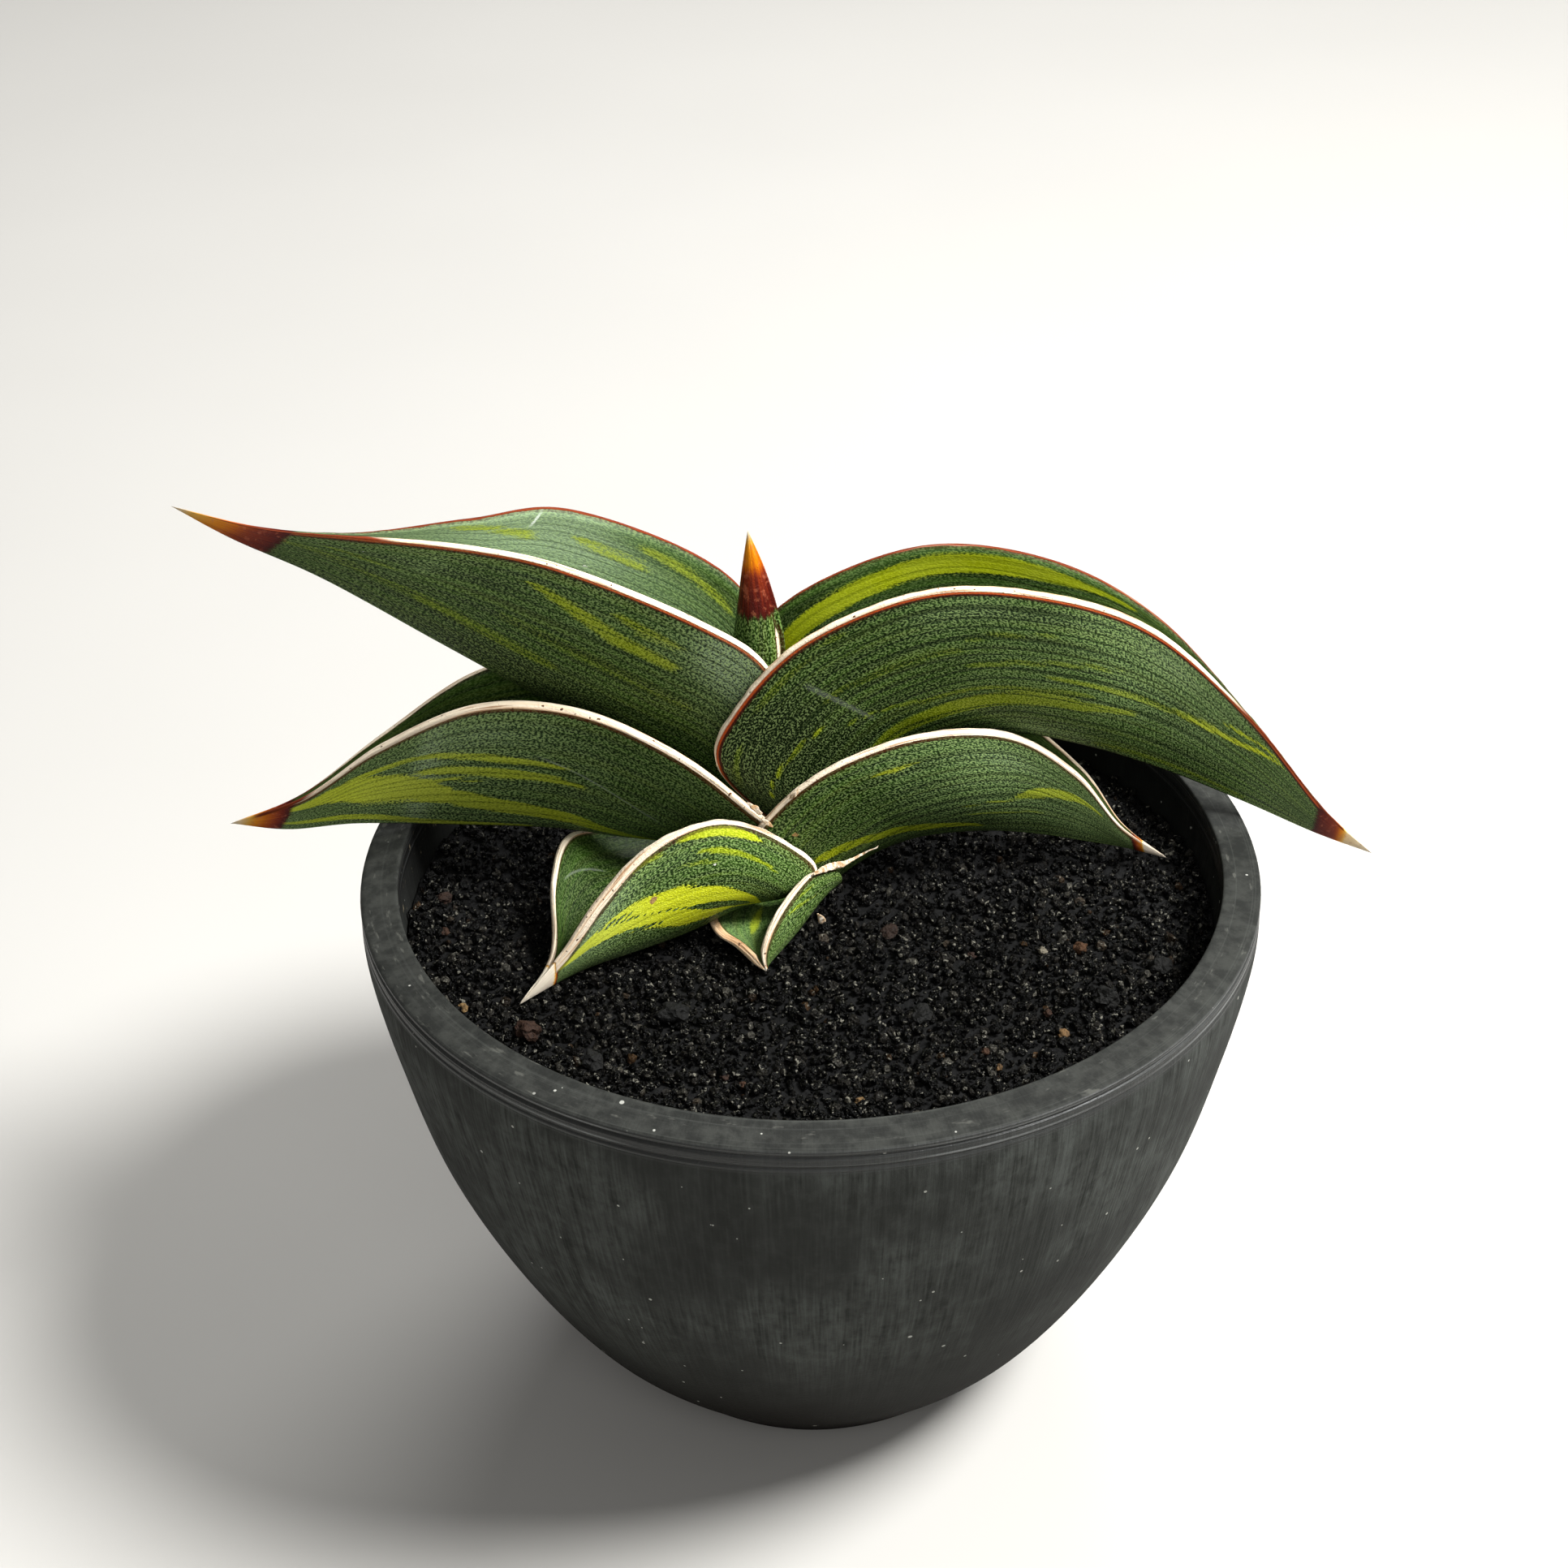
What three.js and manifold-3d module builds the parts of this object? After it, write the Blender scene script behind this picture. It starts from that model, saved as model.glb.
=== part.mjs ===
// A potted dwarf sansevieria: thick channelled leaves in two ranks, in a round bowl pot of dark grit.
// Millimetres, +Z up. The origin is the centre of the pot's underside, and +X is to the right of the
// side that the plant is seen from, with the fan of leaves lying in the plane across it.
import * as THREE from "three";
import { mergeVertices } from "three/addons/utils/BufferGeometryUtils.js";
import Module from "manifold-3d";

// Pot
const POT_HEIGHT = 80;
const POT_RADIUS = 60;
const POT_WALL = 5;
const FLOOR_THICKNESS = 5;
const FOOT_RADIUS = 26.4; // of the flat base that the pot stands on
const DRAIN_HOLES = 3;
const DRAIN_HOLE_RADIUS = 2.5;
const DRAIN_CIRCLE_RADIUS = 13;
const RIM_FALL = 0.8; // how far the rim's top band slopes down towards its outer edge
const RIM_BEVEL = 1; // breadth of the small slope outside that band
const POT_SEGMENTS = 60;

// Grit
const GRIT_LEVEL = 71.4; // mean height of the surface
const GRIT_RELIEF = 0.4; // how far its grains rise above and lie below that
const GRIT_HOLE_RADIUS = 2.9; // the plain hole that the stem stands in
const GRIT_HOLE_DEPTH = 9;
const GRIT_RINGS = 14; // rings of grains from the pot's wall to the stem
const GAP = 0.3; // clearance between neighbouring pieces

// Plant
const CROWN_Y = 9; // the fan of leaves stands this far behind the pot's axis
const STEM_RADIUS = 2.6;
const MARGIN = 1.2; // thickness of a leaf at its papery edge
const KEEL_FILL = 0.24; // share of a leaf's depth that is solid flesh above its keel
const LEAF_STEPS = 3; // rings from one guide point to the next
const LEAF_ACROSS = 10; // facets across each face of a leaf

// Each leaf is drawn by three edges from its base to its tip: the margin nearer the viewer, the keel
// underneath, and the margin farther away. Guide points of one number lie in one cross-section.
const LEAVES = {
  leaf_left_upper: {
    color: 0x3f5e3c,
    near: [[-0.5, 6, 84], [-2.5, 5.4, 93], [-5, 4, 106.3], [-14, 1.5, 115.2], [-30.5, 2, 123],
      [-42.5, 5, 124.6], [-57.5, 7.5, 125.3], [-70, 8.4, 126.4], [-81, 9, 129.5]],
    keel: [[-7.5, 9, 81], [-11, 9, 84], [-18, 9, 89.5], [-27, 9, 94.6], [-38.5, 9, 102.1],
      [-48.5, 9, 108.9], [-62.5, 9, 118.5], [-73.5, 9, 124.5], [-81, 9, 129.5]],
    far: [[-0.5, 12, 84], [-2.5, 12.6, 93], [-6, 14, 108.9], [-14, 16.5, 117], [-31, 16, 124.6],
      [-43.5, 13, 125], [-58, 10.5, 124.5], [-70, 9.6, 126], [-81, 9, 129.5]],
  },
  leaf_right_upper: {
    color: 0x38583a,
    near: [[-4, 4.2, 81.5], [-12, 1.9, 93], [-10, 1.6, 101.3], [-0.5, 2, 112], [15.5, 2.5, 118.7],
      [32, 4, 116.8], [46, 7, 109.3], [59, 7.6, 96], [70, 8.2, 81], [77.5, 9, 73]],
    keel: [[5.2, 9, 79.6], [8.5, 9, 82.3], [11.5, 9, 86.5], [17, 9, 91], [26.5, 9, 93.5],
      [36.5, 9, 91.5], [47.5, 9, 87.5], [59, 9, 82], [69.5, 9, 76.5], [77.5, 9, 73]],
    far: [[-4, 13.8, 81.5], [-11, 16, 92.5], [-8, 16, 103.4], [0, 15.5, 112.5], [16, 15, 119],
      [32.5, 13, 117.5], [46.5, 11.5, 109.5], [59.5, 10.4, 94.5], [70, 9.8, 80.5], [77.5, 9, 73]],
  },
  leaf_left_middle: {
    color: 0x34523a,
    near: [[-0.5, 4.4, 77], [-3, 0.6, 82.3], [-7, -0.4, 87], [-17, 0, 96], [-30, 2, 101.8],
      [-43.5, 4.5, 101.2], [-57, 7.2, 93.6], [-68, 8.2, 85.3], [-78.8, 9, 80.7]],
    keel: [[-9.5, 9, 75.2], [-12.5, 9, 76.2], [-16, 9, 76.8], [-24, 9, 77.3], [-35, 9, 79.2],
      [-48.5, 9, 80], [-61.5, 9, 80.4], [-71, 9, 79.6], [-78.8, 9, 80.7]],
    far: [[-0.5, 13.6, 77], [-3, 17.4, 82.3], [-7, 18.2, 87], [-17, 17.6, 97], [-30, 16, 103],
      [-44, 13.5, 101.8], [-57, 10.8, 93.9], [-68.5, 9.8, 85], [-78.8, 9, 80.7]],
  },
  leaf_right_middle: {
    color: 0x36553a,
    near: [[-5, 0, 75], [-9, -1.8, 80], [-5.5, -2, 87.4], [2.5, -1.2, 94.3], [14.5, 1.5, 97.5],
      [26.5, 5.5, 95], [36, 7.5, 87.5], [42.5, 8.3, 78.5], [49.5, 9.5, 72.3]],
    keel: [[5.5, 9, 73], [7.8, 9, 74.2], [11, 9, 75.6], [16, 9, 77], [24, 9, 77.7],
      [31.5, 9, 77], [38, 9, 75.7], [43.5, 9, 74.5], [49.5, 9.5, 72.3]],
    far: [[-5, 17.4, 75], [-9, 19.4, 80], [-5.5, 20, 87], [3, 19.2, 94], [15, 16.5, 98],
      [26, 12.5, 96], [37, 10.5, 87], [43, 9.9, 78], [49.5, 9.5, 72.3]],
  },
  leaf_left_lower: {
    color: 0x4a6a34,
    near: [[0.8, -1.8, 76.5], [0.3, -2.5, 81.1], [-7, -4.6, 88], [-13.5, -7, 90.4], [-21, -9.5, 88],
      [-27, -13, 83], [-32, -17, 77.4], [-38, -22, 72.5]],
    keel: [[-12, 3, 73.8], [-10, -1.5, 74.4], [-12, -5.5, 74.4], [-16.5, -8.5, 73.8], [-22.5, -11, 73],
      [-28.3, -13.8, 72.7], [-32.6, -16.6, 72.4], [-38, -22, 72.5]],
    far: [[-4, 21.2, 75.4], [-12, 20.2, 76.3], [-20, 17, 76.5], [-28, 12.5, 76.8], [-33.2, 6.8, 79.1],
      [-34.7, -2, 77.9], [-34.3, -14, 74.7], [-38, -22, 72.5]],
  },
  leaf_right_lower: {
    color: 0x35573a,
    near: [[3.6, 0.4, 77.4], [2.9, -1, 78.7], [0.2, -4.5, 80.2], [-2.2, -7.3, 79.2], [-4.6, -11, 77.4],
      [-6.1, -14, 74.8], [-6, -15.5, 72.5]],
    keel: [[0.6, 2, 73], [0.5, 0.5, 73], [-0.2, -2.8, 73], [-1.9, -7.4, 72.8], [-3.9, -11, 72.6],
      [-5.4, -13.6, 72.5], [-6, -15.5, 72.5]],
    far: [[-9, 6, 73.5], [-12, 1, 73.4], [-13.6, -4.2, 73.4], [-12.6, -8.4, 73.5], [-10.1, -10.9, 73.2],
      [-7.6, -14.2, 72.8], [-6, -15.5, 72.5]],
  },
};

// Young leaf in the heart, still rolled into a spike: centre, half breadth across and half depth
// of each ring from its base up, with a shallow furrow where its two edges meet.
const SPIKE = [
  { at: [-2.6, 9, 87.3], half: [1.4, 1.3] },
  { at: [-4.5, 9, 94], half: [2.3, 1.8] },
  { at: [-6.2, 9, 101], half: [3.2, 2.6] },
  { at: [-6.3, 9, 108], half: [3.4, 2.8] },
  { at: [-6.5, 9, 114], half: [2.5, 2.2] },
  { at: [-6.9, 9, 119.5], half: [1.4, 1.3] },
  { at: [-7.5, 9, 124.8], half: [0, 0] },
];
const SPIKE_SIDES = 20;
const FURROW_DEPTH = 0.16; // share of the half breadth

const wasm = await Module();
wasm.setup();

const clamp01 = (value) => THREE.MathUtils.clamp(value, 0, 1);
const vector = ([x, y, z]) => new THREE.Vector3(x, y, z);

// A smooth curve through the guide points, read at a guide number that may be a fraction.
function guide(points) {
  const curve = new THREE.CatmullRomCurve3(points.map(vector), false, "catmullrom", 0.5);
  return (station) => curve.getPoint(station / (points.length - 1));
}

// A closed skin over rings with equal numbers of points. Each end is a point that its ring closes
// to, or, where it is null, the ring's two halves laid against each other.
function skin(rings, startPoint, endPoint) {
  const count = rings[0].length;
  const positions = rings.flat().flatMap((p) => p.toArray());
  const index = [];
  const at = (ring, i) => ring * count + (i % count);
  for (let ring = 0; ring < rings.length - 1; ring++) {
    for (let i = 0; i < count; i++) {
      const a = at(ring, i);
      const b = at(ring, i + 1);
      const c = at(ring + 1, i + 1);
      const d = at(ring + 1, i);
      // Both faces of a blade are split along the same diagonal.
      if (i < count / 2) index.push(a, b, c, a, c, d);
      else index.push(a, b, d, b, c, d);
    }
  }
  const close = (ring, point, order) => {
    if (point) {
      const apex = positions.length / 3;
      positions.push(...point.toArray());
      for (let i = 0; i < count; i++) index.push(...order(at(ring, i), at(ring, i + 1), apex));
      return;
    }
    const last = count - 1;
    for (let i = 0; i < count / 2 - 1; i++) {
      index.push(...order(at(ring, i), at(ring, i + 1), at(ring, last - i)));
      index.push(...order(at(ring, i + 1), at(ring, last - i - 1), at(ring, last - i)));
    }
  };
  close(0, startPoint, (a, b, c) => [b, a, c]);
  close(rings.length - 1, endPoint, (a, b, c) => [a, b, c]);
  const geometry = new THREE.BufferGeometry();
  geometry.setAttribute("position", new THREE.Float32BufferAttribute(positions, 3));
  geometry.setIndex(index);
  geometry.computeVertexNormals();
  return geometry;
}

// Cross-section of a channelled leaf: out along the outer face from the near margin round the keel
// to the far margin, and back along the channel.
function leafRing(near, keel, far, roundness) {
  const across = far.clone().sub(near).multiplyScalar(0.5);
  const halfGap = across.length();
  const deep = near.clone().add(far).multiplyScalar(0.5).sub(keel);
  const margin = Math.min(MARGIN, 0.7 * halfGap);
  // The channel fills up where the two margins draw together towards the tip.
  const fill = THREE.MathUtils.lerp(0.9, KEEL_FILL, clamp01((halfGap - 0.8) / 4));
  const point = (v, width, base) => {
    const bow = Math.sin((v * Math.PI) / 2);
    const rise = 1 - Math.cos((v * Math.PI) / 2);
    const x = width * THREE.MathUtils.lerp(v, bow, roundness);
    const z = base + (1 - base) * THREE.MathUtils.lerp(Math.abs(v), rise, roundness);
    return keel.clone().addScaledVector(across, x).addScaledVector(deep, z);
  };
  const outer = [];
  const inner = [];
  for (let i = 0; i <= LEAF_ACROSS; i++) {
    const v = (2 * i) / LEAF_ACROSS - 1;
    outer.push(point(v, 1, 0));
    inner.unshift(point(v, 1 - margin / halfGap, fill));
  }
  return [...outer, ...inner];
}

function leafGeometry({ near, keel, far }) {
  const nearEdge = guide(near);
  const keelLine = guide(keel);
  const farEdge = guide(far);
  const last = near.length - 1;
  const growsLeft = keel[0][0] < near[0][0];
  const rings = [];
  for (let i = 0; i < last * LEAF_STEPS; i++) {
    const station = i / LEAF_STEPS;
    // The base is rounder, where it clasps the stem.
    const roundness = THREE.MathUtils.lerp(0.95, 0.6, clamp01(station / 3));
    const edges = [nearEdge(station), farEdge(station)];
    // The rings of a leaf that grows to the left run the other way round, so that all faces look out.
    if (growsLeft) edges.reverse();
    rings.push(leafRing(edges[0], keelLine(station), edges[1], roundness));
  }
  return skin(rings, null, vector(near[last]));
}

function spikeGeometry() {
  const rings = SPIKE.slice(0, -1).map(({ at, half }) => {
    const ring = [];
    for (let i = 0; i < SPIKE_SIDES; i++) {
      const angle = (2 * Math.PI * i) / SPIKE_SIDES;
      const furrow = 1 - FURROW_DEPTH * Math.exp(-((Math.cos(angle + 0.5) - 1) ** 2) / 0.002);
      ring.push(new THREE.Vector3(
        at[0] + half[0] * furrow * Math.cos(angle),
        at[1] + half[1] * furrow * Math.sin(angle),
        at[2],
      ));
    }
    return ring;
  });
  return skin(rings, vector(SPIKE[0].at), vector(SPIKE[SPIKE.length - 1].at));
}

// The pot's outside from its foot to the top of its wall, a bowl that opens ever more slowly.
const WALL_TOP = POT_HEIGHT - RIM_FALL - 0.5 * RIM_BEVEL;
const BOWL = new THREE.SplineCurve([
  [FOOT_RADIUS, 0], [30, 4], [38.5, 14], [46.6, 28], [53.4, 44], [57.5, 60], [59.8, 72],
  [POT_RADIUS, WALL_TOP],
].map(([r, z]) => new THREE.Vector2(r, z))).getPoints(96);

function bowlRadius(z) {
  const upper = Math.max(1, BOWL.findIndex((p) => p.y >= z));
  const [a, b] = [BOWL[upper - 1], BOWL[upper]];
  return THREE.MathUtils.mapLinear(z, a.y, b.y, a.x, b.x);
}

const innerRadius = (z) => bowlRadius(z) - POT_WALL;

// Merged closed geometry as a solid that can be cut.
function solid(geometry) {
  const bare = geometry.clone();
  bare.deleteAttribute("normal");
  bare.deleteAttribute("uv");
  const merged = mergeVertices(bare, 1e-4);
  return new wasm.Manifold(new wasm.Mesh({
    numProp: 3,
    vertProperties: merged.attributes.position.array,
    triVerts: new Uint32Array(merged.index.array),
  }));
}

function geometryOf(body) {
  const mesh = body.getMesh();
  const geometry = new THREE.BufferGeometry();
  geometry.setAttribute("position", new THREE.BufferAttribute(mesh.vertProperties, 3));
  geometry.setIndex(new THREE.BufferAttribute(mesh.triVerts, 1));
  return geometry;
}

// Fine turned grooves round the wall under the rim: height and depth of each.
const GROOVES = [{ z: 76.4, depth: 0.2 }, { z: 78, depth: 0.35 }];
const GROOVE_HALF_WIDTH = 0.4;

function potGeometry() {
  const profile = [[0, 0], [FOOT_RADIUS - 0.5, 0]];
  for (const z of [0.5, 2, 5, 9, 14, 20, 28, 37, 47, 58, 68]) profile.push([bowlRadius(z), z]);
  for (const { z, depth } of GROOVES) {
    for (const step of [-1, 0, 1]) {
      const height = z + step * GROOVE_HALF_WIDTH;
      profile.push([bowlRadius(height) - (step === 0 ? depth : 0), height]);
    }
  }
  profile.push(
    [POT_RADIUS, WALL_TOP],
    [POT_RADIUS - RIM_BEVEL, POT_HEIGHT - RIM_FALL],
    [POT_RADIUS - POT_WALL, POT_HEIGHT],
  );
  for (const z of [76, 66, 52, 38, 26, 17]) profile.push([innerRadius(z), z]);
  profile.push(
    [innerRadius(FLOOR_THICKNESS + 5), FLOOR_THICKNESS + 3],
    [innerRadius(FLOOR_THICKNESS), FLOOR_THICKNESS],
    [0, FLOOR_THICKNESS],
  );
  const outline = profile.map(([r, z]) => new THREE.Vector2(r, z));
  let pot = solid(new THREE.LatheGeometry(outline, POT_SEGMENTS).rotateX(Math.PI / 2));
  for (let i = 0; i < DRAIN_HOLES; i++) {
    const angle = (2 * Math.PI * (i + 0.25)) / DRAIN_HOLES;
    const hole = new THREE.CylinderGeometry(DRAIN_HOLE_RADIUS, DRAIN_HOLE_RADIUS, 3 * FLOOR_THICKNESS, 16)
      .rotateX(Math.PI / 2)
      .translate(DRAIN_CIRCLE_RADIUS * Math.cos(angle), DRAIN_CIRCLE_RADIUS * Math.sin(angle), 0);
    pot = pot.subtract(solid(hole));
  }
  return geometryOf(pot);
}

// Height of one grain of the surface, from a repeatable hash of its place in the rings.
function grainHeight(ring, i) {
  const hash = Math.sin(12.9898 * ring + 78.233 * i) * 43758.5453;
  return GRIT_LEVEL + GRIT_RELIEF * (2 * (hash - Math.floor(hash)) - 1);
}

function gritGeometry() {
  const circle = (radius, centreY, heightAt) => {
    const points = [];
    for (let i = 0; i < POT_SEGMENTS; i++) {
      const angle = (2 * Math.PI * i) / POT_SEGMENTS;
      const y = centreY + radius * Math.sin(angle);
      points.push(new THREE.Vector3(radius * Math.cos(angle), y, heightAt(i)));
    }
    return points;
  };
  const floor = FLOOR_THICKNESS + GAP;
  const holeFloor = GRIT_LEVEL - GRIT_HOLE_DEPTH;
  const clear = GAP + 0.3;
  const rings = [circle(innerRadius(floor) - 2.5, 0, () => floor)];
  for (const z of [13, 26, 38, 52]) rings.push(circle(innerRadius(z) - clear, 0, () => z));
  for (let ring = 0; ring < GRIT_RINGS; ring++) {
    const share = ring / (GRIT_RINGS - 1);
    const radius = THREE.MathUtils.lerp(innerRadius(GRIT_LEVEL) - clear, GRIT_HOLE_RADIUS, share);
    rings.push(circle(radius, CROWN_Y * share, (i) => grainHeight(ring, i)));
  }
  rings.push(circle(GRIT_HOLE_RADIUS, CROWN_Y, () => holeFloor));
  return skin(rings, new THREE.Vector3(0, 0, floor), new THREE.Vector3(0, CROWN_Y, holeFloor));
}

// Short woody stem: straight in the grit, then leaning a little to the left under the young leaf.
function stemGeometry() {
  const foot = GRIT_LEVEL - GRIT_HOLE_DEPTH + GAP;
  const shape = [
    { z: foot, x: 0, radius: STEM_RADIUS - 0.6 },
    { z: foot + 1, x: 0, radius: STEM_RADIUS },
    { z: 73, x: 0, radius: STEM_RADIUS },
    { z: 78, x: -0.8, radius: 2.1 },
    { z: 83, x: -1.8, radius: 1.4 },
    { z: 86.5, x: -2.5, radius: 1.2 },
  ];
  const sides = 20;
  const rings = shape.map(({ z, x, radius }) => {
    const ring = [];
    for (let i = 0; i < sides; i++) {
      const angle = (2 * Math.PI * i) / sides;
      ring.push(new THREE.Vector3(x + radius * Math.cos(angle), CROWN_Y + radius * Math.sin(angle), z));
    }
    return ring;
  });
  const [first, last] = [shape[0], shape[shape.length - 1]];
  return skin(
    rings,
    new THREE.Vector3(first.x, CROWN_Y, first.z),
    new THREE.Vector3(last.x, CROWN_Y, last.z + 0.4),
  );
}

function piece(name, geometry, color, roughness) {
  const material = new THREE.MeshStandardMaterial({ color, roughness, metalness: 0 });
  const mesh = new THREE.Mesh(geometry, material);
  mesh.name = name;
  return mesh;
}

const pottedPlant = new THREE.Group();
pottedPlant.add(
  piece("pot", potGeometry(), 0x3a3c3c, 0.75),
  piece("grit", gritGeometry(), 0x17181a, 0.95),
  piece("stem", stemGeometry(), 0x8a7a55, 0.8),
  piece("leaf_spike", spikeGeometry(), 0x5a4a30, 0.6),
);
for (const [name, leaf] of Object.entries(LEAVES)) {
  pottedPlant.add(piece(name, leafGeometry(leaf), leaf.color, 0.6));
}

export default pottedPlant;
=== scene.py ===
import math

import bmesh
import bpy
import numpy as np
from mathutils import Matrix, Vector, noise


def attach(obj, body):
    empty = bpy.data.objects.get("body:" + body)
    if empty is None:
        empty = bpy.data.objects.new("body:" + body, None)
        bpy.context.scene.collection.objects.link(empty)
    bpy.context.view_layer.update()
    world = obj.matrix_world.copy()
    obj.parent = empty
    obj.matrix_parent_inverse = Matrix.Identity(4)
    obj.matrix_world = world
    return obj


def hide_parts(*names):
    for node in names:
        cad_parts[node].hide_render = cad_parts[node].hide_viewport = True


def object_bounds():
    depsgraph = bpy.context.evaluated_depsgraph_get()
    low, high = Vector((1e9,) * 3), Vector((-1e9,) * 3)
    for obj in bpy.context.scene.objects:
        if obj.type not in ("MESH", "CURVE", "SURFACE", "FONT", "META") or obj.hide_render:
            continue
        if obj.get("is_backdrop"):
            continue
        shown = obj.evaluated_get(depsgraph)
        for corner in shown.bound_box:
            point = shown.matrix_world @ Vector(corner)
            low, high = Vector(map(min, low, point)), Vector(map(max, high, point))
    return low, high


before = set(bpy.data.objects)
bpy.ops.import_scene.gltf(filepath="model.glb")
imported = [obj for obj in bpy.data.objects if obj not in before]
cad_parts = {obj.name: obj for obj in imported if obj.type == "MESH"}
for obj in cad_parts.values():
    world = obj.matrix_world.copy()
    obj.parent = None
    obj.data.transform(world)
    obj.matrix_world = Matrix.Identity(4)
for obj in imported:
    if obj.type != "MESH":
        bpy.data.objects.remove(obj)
cad_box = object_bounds()

MM = 0.001  # sizes and places are given in millimetres and brought to metres with this

# The make of a leaf
MARGIN = 1.2  # breadth of the papery edge
KEEL_FILL = 0.24  # share of the depth that is solid flesh above the keel
EDGE_FILL = 0.9  # the same share where the blade is too narrow for a channel
BEAD = 0.16  # how far the papery edge swells past the flesh
FLARE_LENGTH = 34  # how far from the tip a papery edge starts to widen
MIRROR_SHIFT = 4  # how much nearer the base a leaf's far half repeats its near streaks
GRAIN_SHIFT = 170  # keeps one leaf's grain from repeating on the next
RING_SPACING = 0.6  # along a leaf
OUTER_FACETS = 88
EDGE_FACETS = 6
CHANNEL_FACETS = 60
CHANNEL = slice(OUTER_FACETS + EDGE_FACETS, OUTER_FACETS + EDGE_FACETS + CHANNEL_FACETS + 1)

# The leaves. The near edge, the keel and the far edge are curves from base to tip. What shows on the skin
# is placed in hundredths across a face, from -100, its near margin, over the middle to 100, its far margin,
# and in distances from the base. The faces are the outer one and the inner one, the channel.
# paper: how far it reaches down the outer face and past the inner corner, at the near edge and the far one.
# A negative reach stops short of the corner. paper_flare is how much the near paper widens to the tip.
# red_line and ribbing: how clearly the line under the paper and the dark ribs show.
# rust: of the near paper and the far one, by distance from the tip.
# bloom and painted shade: a greyish bloom along the outer face and the channel; below zero it is painted
# shade, a deeper green where the leaf lies in shade.
# tip: colour stages by distance from it: over 3 is dry paper, 3 cream, 2 orange, 1 maroon and 0 green.
# scratch: the two ends of a pale line, its strength and its breadth.
# marks: place, radius and tone, from 0, black, over 0.5, tan, to 1, white.
# patches: place, half breadth, half length and amount of more bloom, or of less, down to painted shade
# below zero.
# streaks: strength and brightness of the yellow, and points with a place and a half breadth. A negative
# strength is a green line through a streak.
LEAVES = {}
LEAVES["leaf_left_upper"] = dict(
    near=[(-0.5, 6, 84), (-2.5, 5.4, 93), (-5, 4, 106.3), (-14, 1.5, 115.2), (-30.5, 2, 123),
          (-42.5, 5, 124.6), (-57.5, 7.5, 125.3), (-70, 8.4, 126.4), (-81, 9, 129.5)],
    keel=[(-7.5, 9, 81), (-11, 9, 84), (-18, 9, 89.5), (-27, 9, 94.6), (-38.5, 9, 102.1),
          (-48.5, 9, 108.9), (-62.5, 9, 118.5), (-73.5, 9, 124.5), (-81, 9, 129.5)],
    far=[(-0.5, 12, 84), (-2.5, 12.6, 93), (-6, 14, 108.9), (-14, 16.5, 117), (-31, 16, 124.6),
         (-43.5, 13, 125), (-58, 10.5, 124.5), (-70, 9.6, 126), (-81, 9, 129.5)],
    paper=((0.1, 0.1), (0.15, -0.45)),
    red_line=0.8, ribbing=0.8,
    rust=([(22, 1), (34, 0.3), (100, 0.15)], [(100, 0.85)]),
    bloom_and_shade=([(0, 0.6), (25, 0.7), (45, 0.4), (75, 0.35), (90, 0.15)], [(20, 0.9), (60, 1.2)]),
    tip=[(0, 3), (3, 2.5), (8, 1.9), (11, 1.35), (15, 1), (17.5, 0)],
    scratch={"inner": [((100, 57.6), (88, 58.6), 1, 0.26)]},
    marks={"outer": [(-77, 80, 0.2, 1)],
           "inner": [(68, 49.8, 0.35, 1), (90, 45.8, 0.2, 1)]},
    patches={"outer": [(-92, 26, 25, 10, 1.3), (-84, 71, 7, 1.6, 0.5), (-71, 72, 6, 1.4, 0.5),
                       (-15, 50, 30, 40, -1.15)],
             "inner": [(84, 56, 30, 11, 0.5), (97, 34, 10, 12, -0.5)]},
    streaks={"outer": [
        (0.52, 0.33, [(-70, 96, 5), (-62, 90, 8), (-55, 84, 9), (-50, 78, 4)]),
        (0.56, 0.3, [(-56, 88, 4), (-47, 80, 8), (-41, 73, 8), (-36, 66, 4)]),
        (0.8, 0.3, [(-41, 73, 6), (-36, 64, 6), (-35, 50, 3)]),
        (0.8, 0.3, [(-74, 86, 2), (-66, 80, 2.5), (-63, 75, 1.5)]),
        (0.9, 0.48, [(-86, 59, 2), (-78, 51, 4), (-71, 45, 4.5), (-70, 34, 3)]),
        (0.85, 0.42, [(-86, 47, 2), (-83, 42, 3.5), (-82, 35, 2)]),
        (0.6, 0.25, [(-55, 62, 4), (-52, 48, 5), (-50, 28, 4)]),
    ], "inner": [
        (0.85, 0.5, [(95, 70, 3), (92, 65, 4), (79, 57, 5)]),
        (0.85, 0.5, [(84, 53, 3), (81, 47, 4.5), (80, 41, 3)]),
        (0.85, 0.5, [(92, 44, 3), (89, 37, 3.5), (85, 27, 3)]),
    ]},
)
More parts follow.
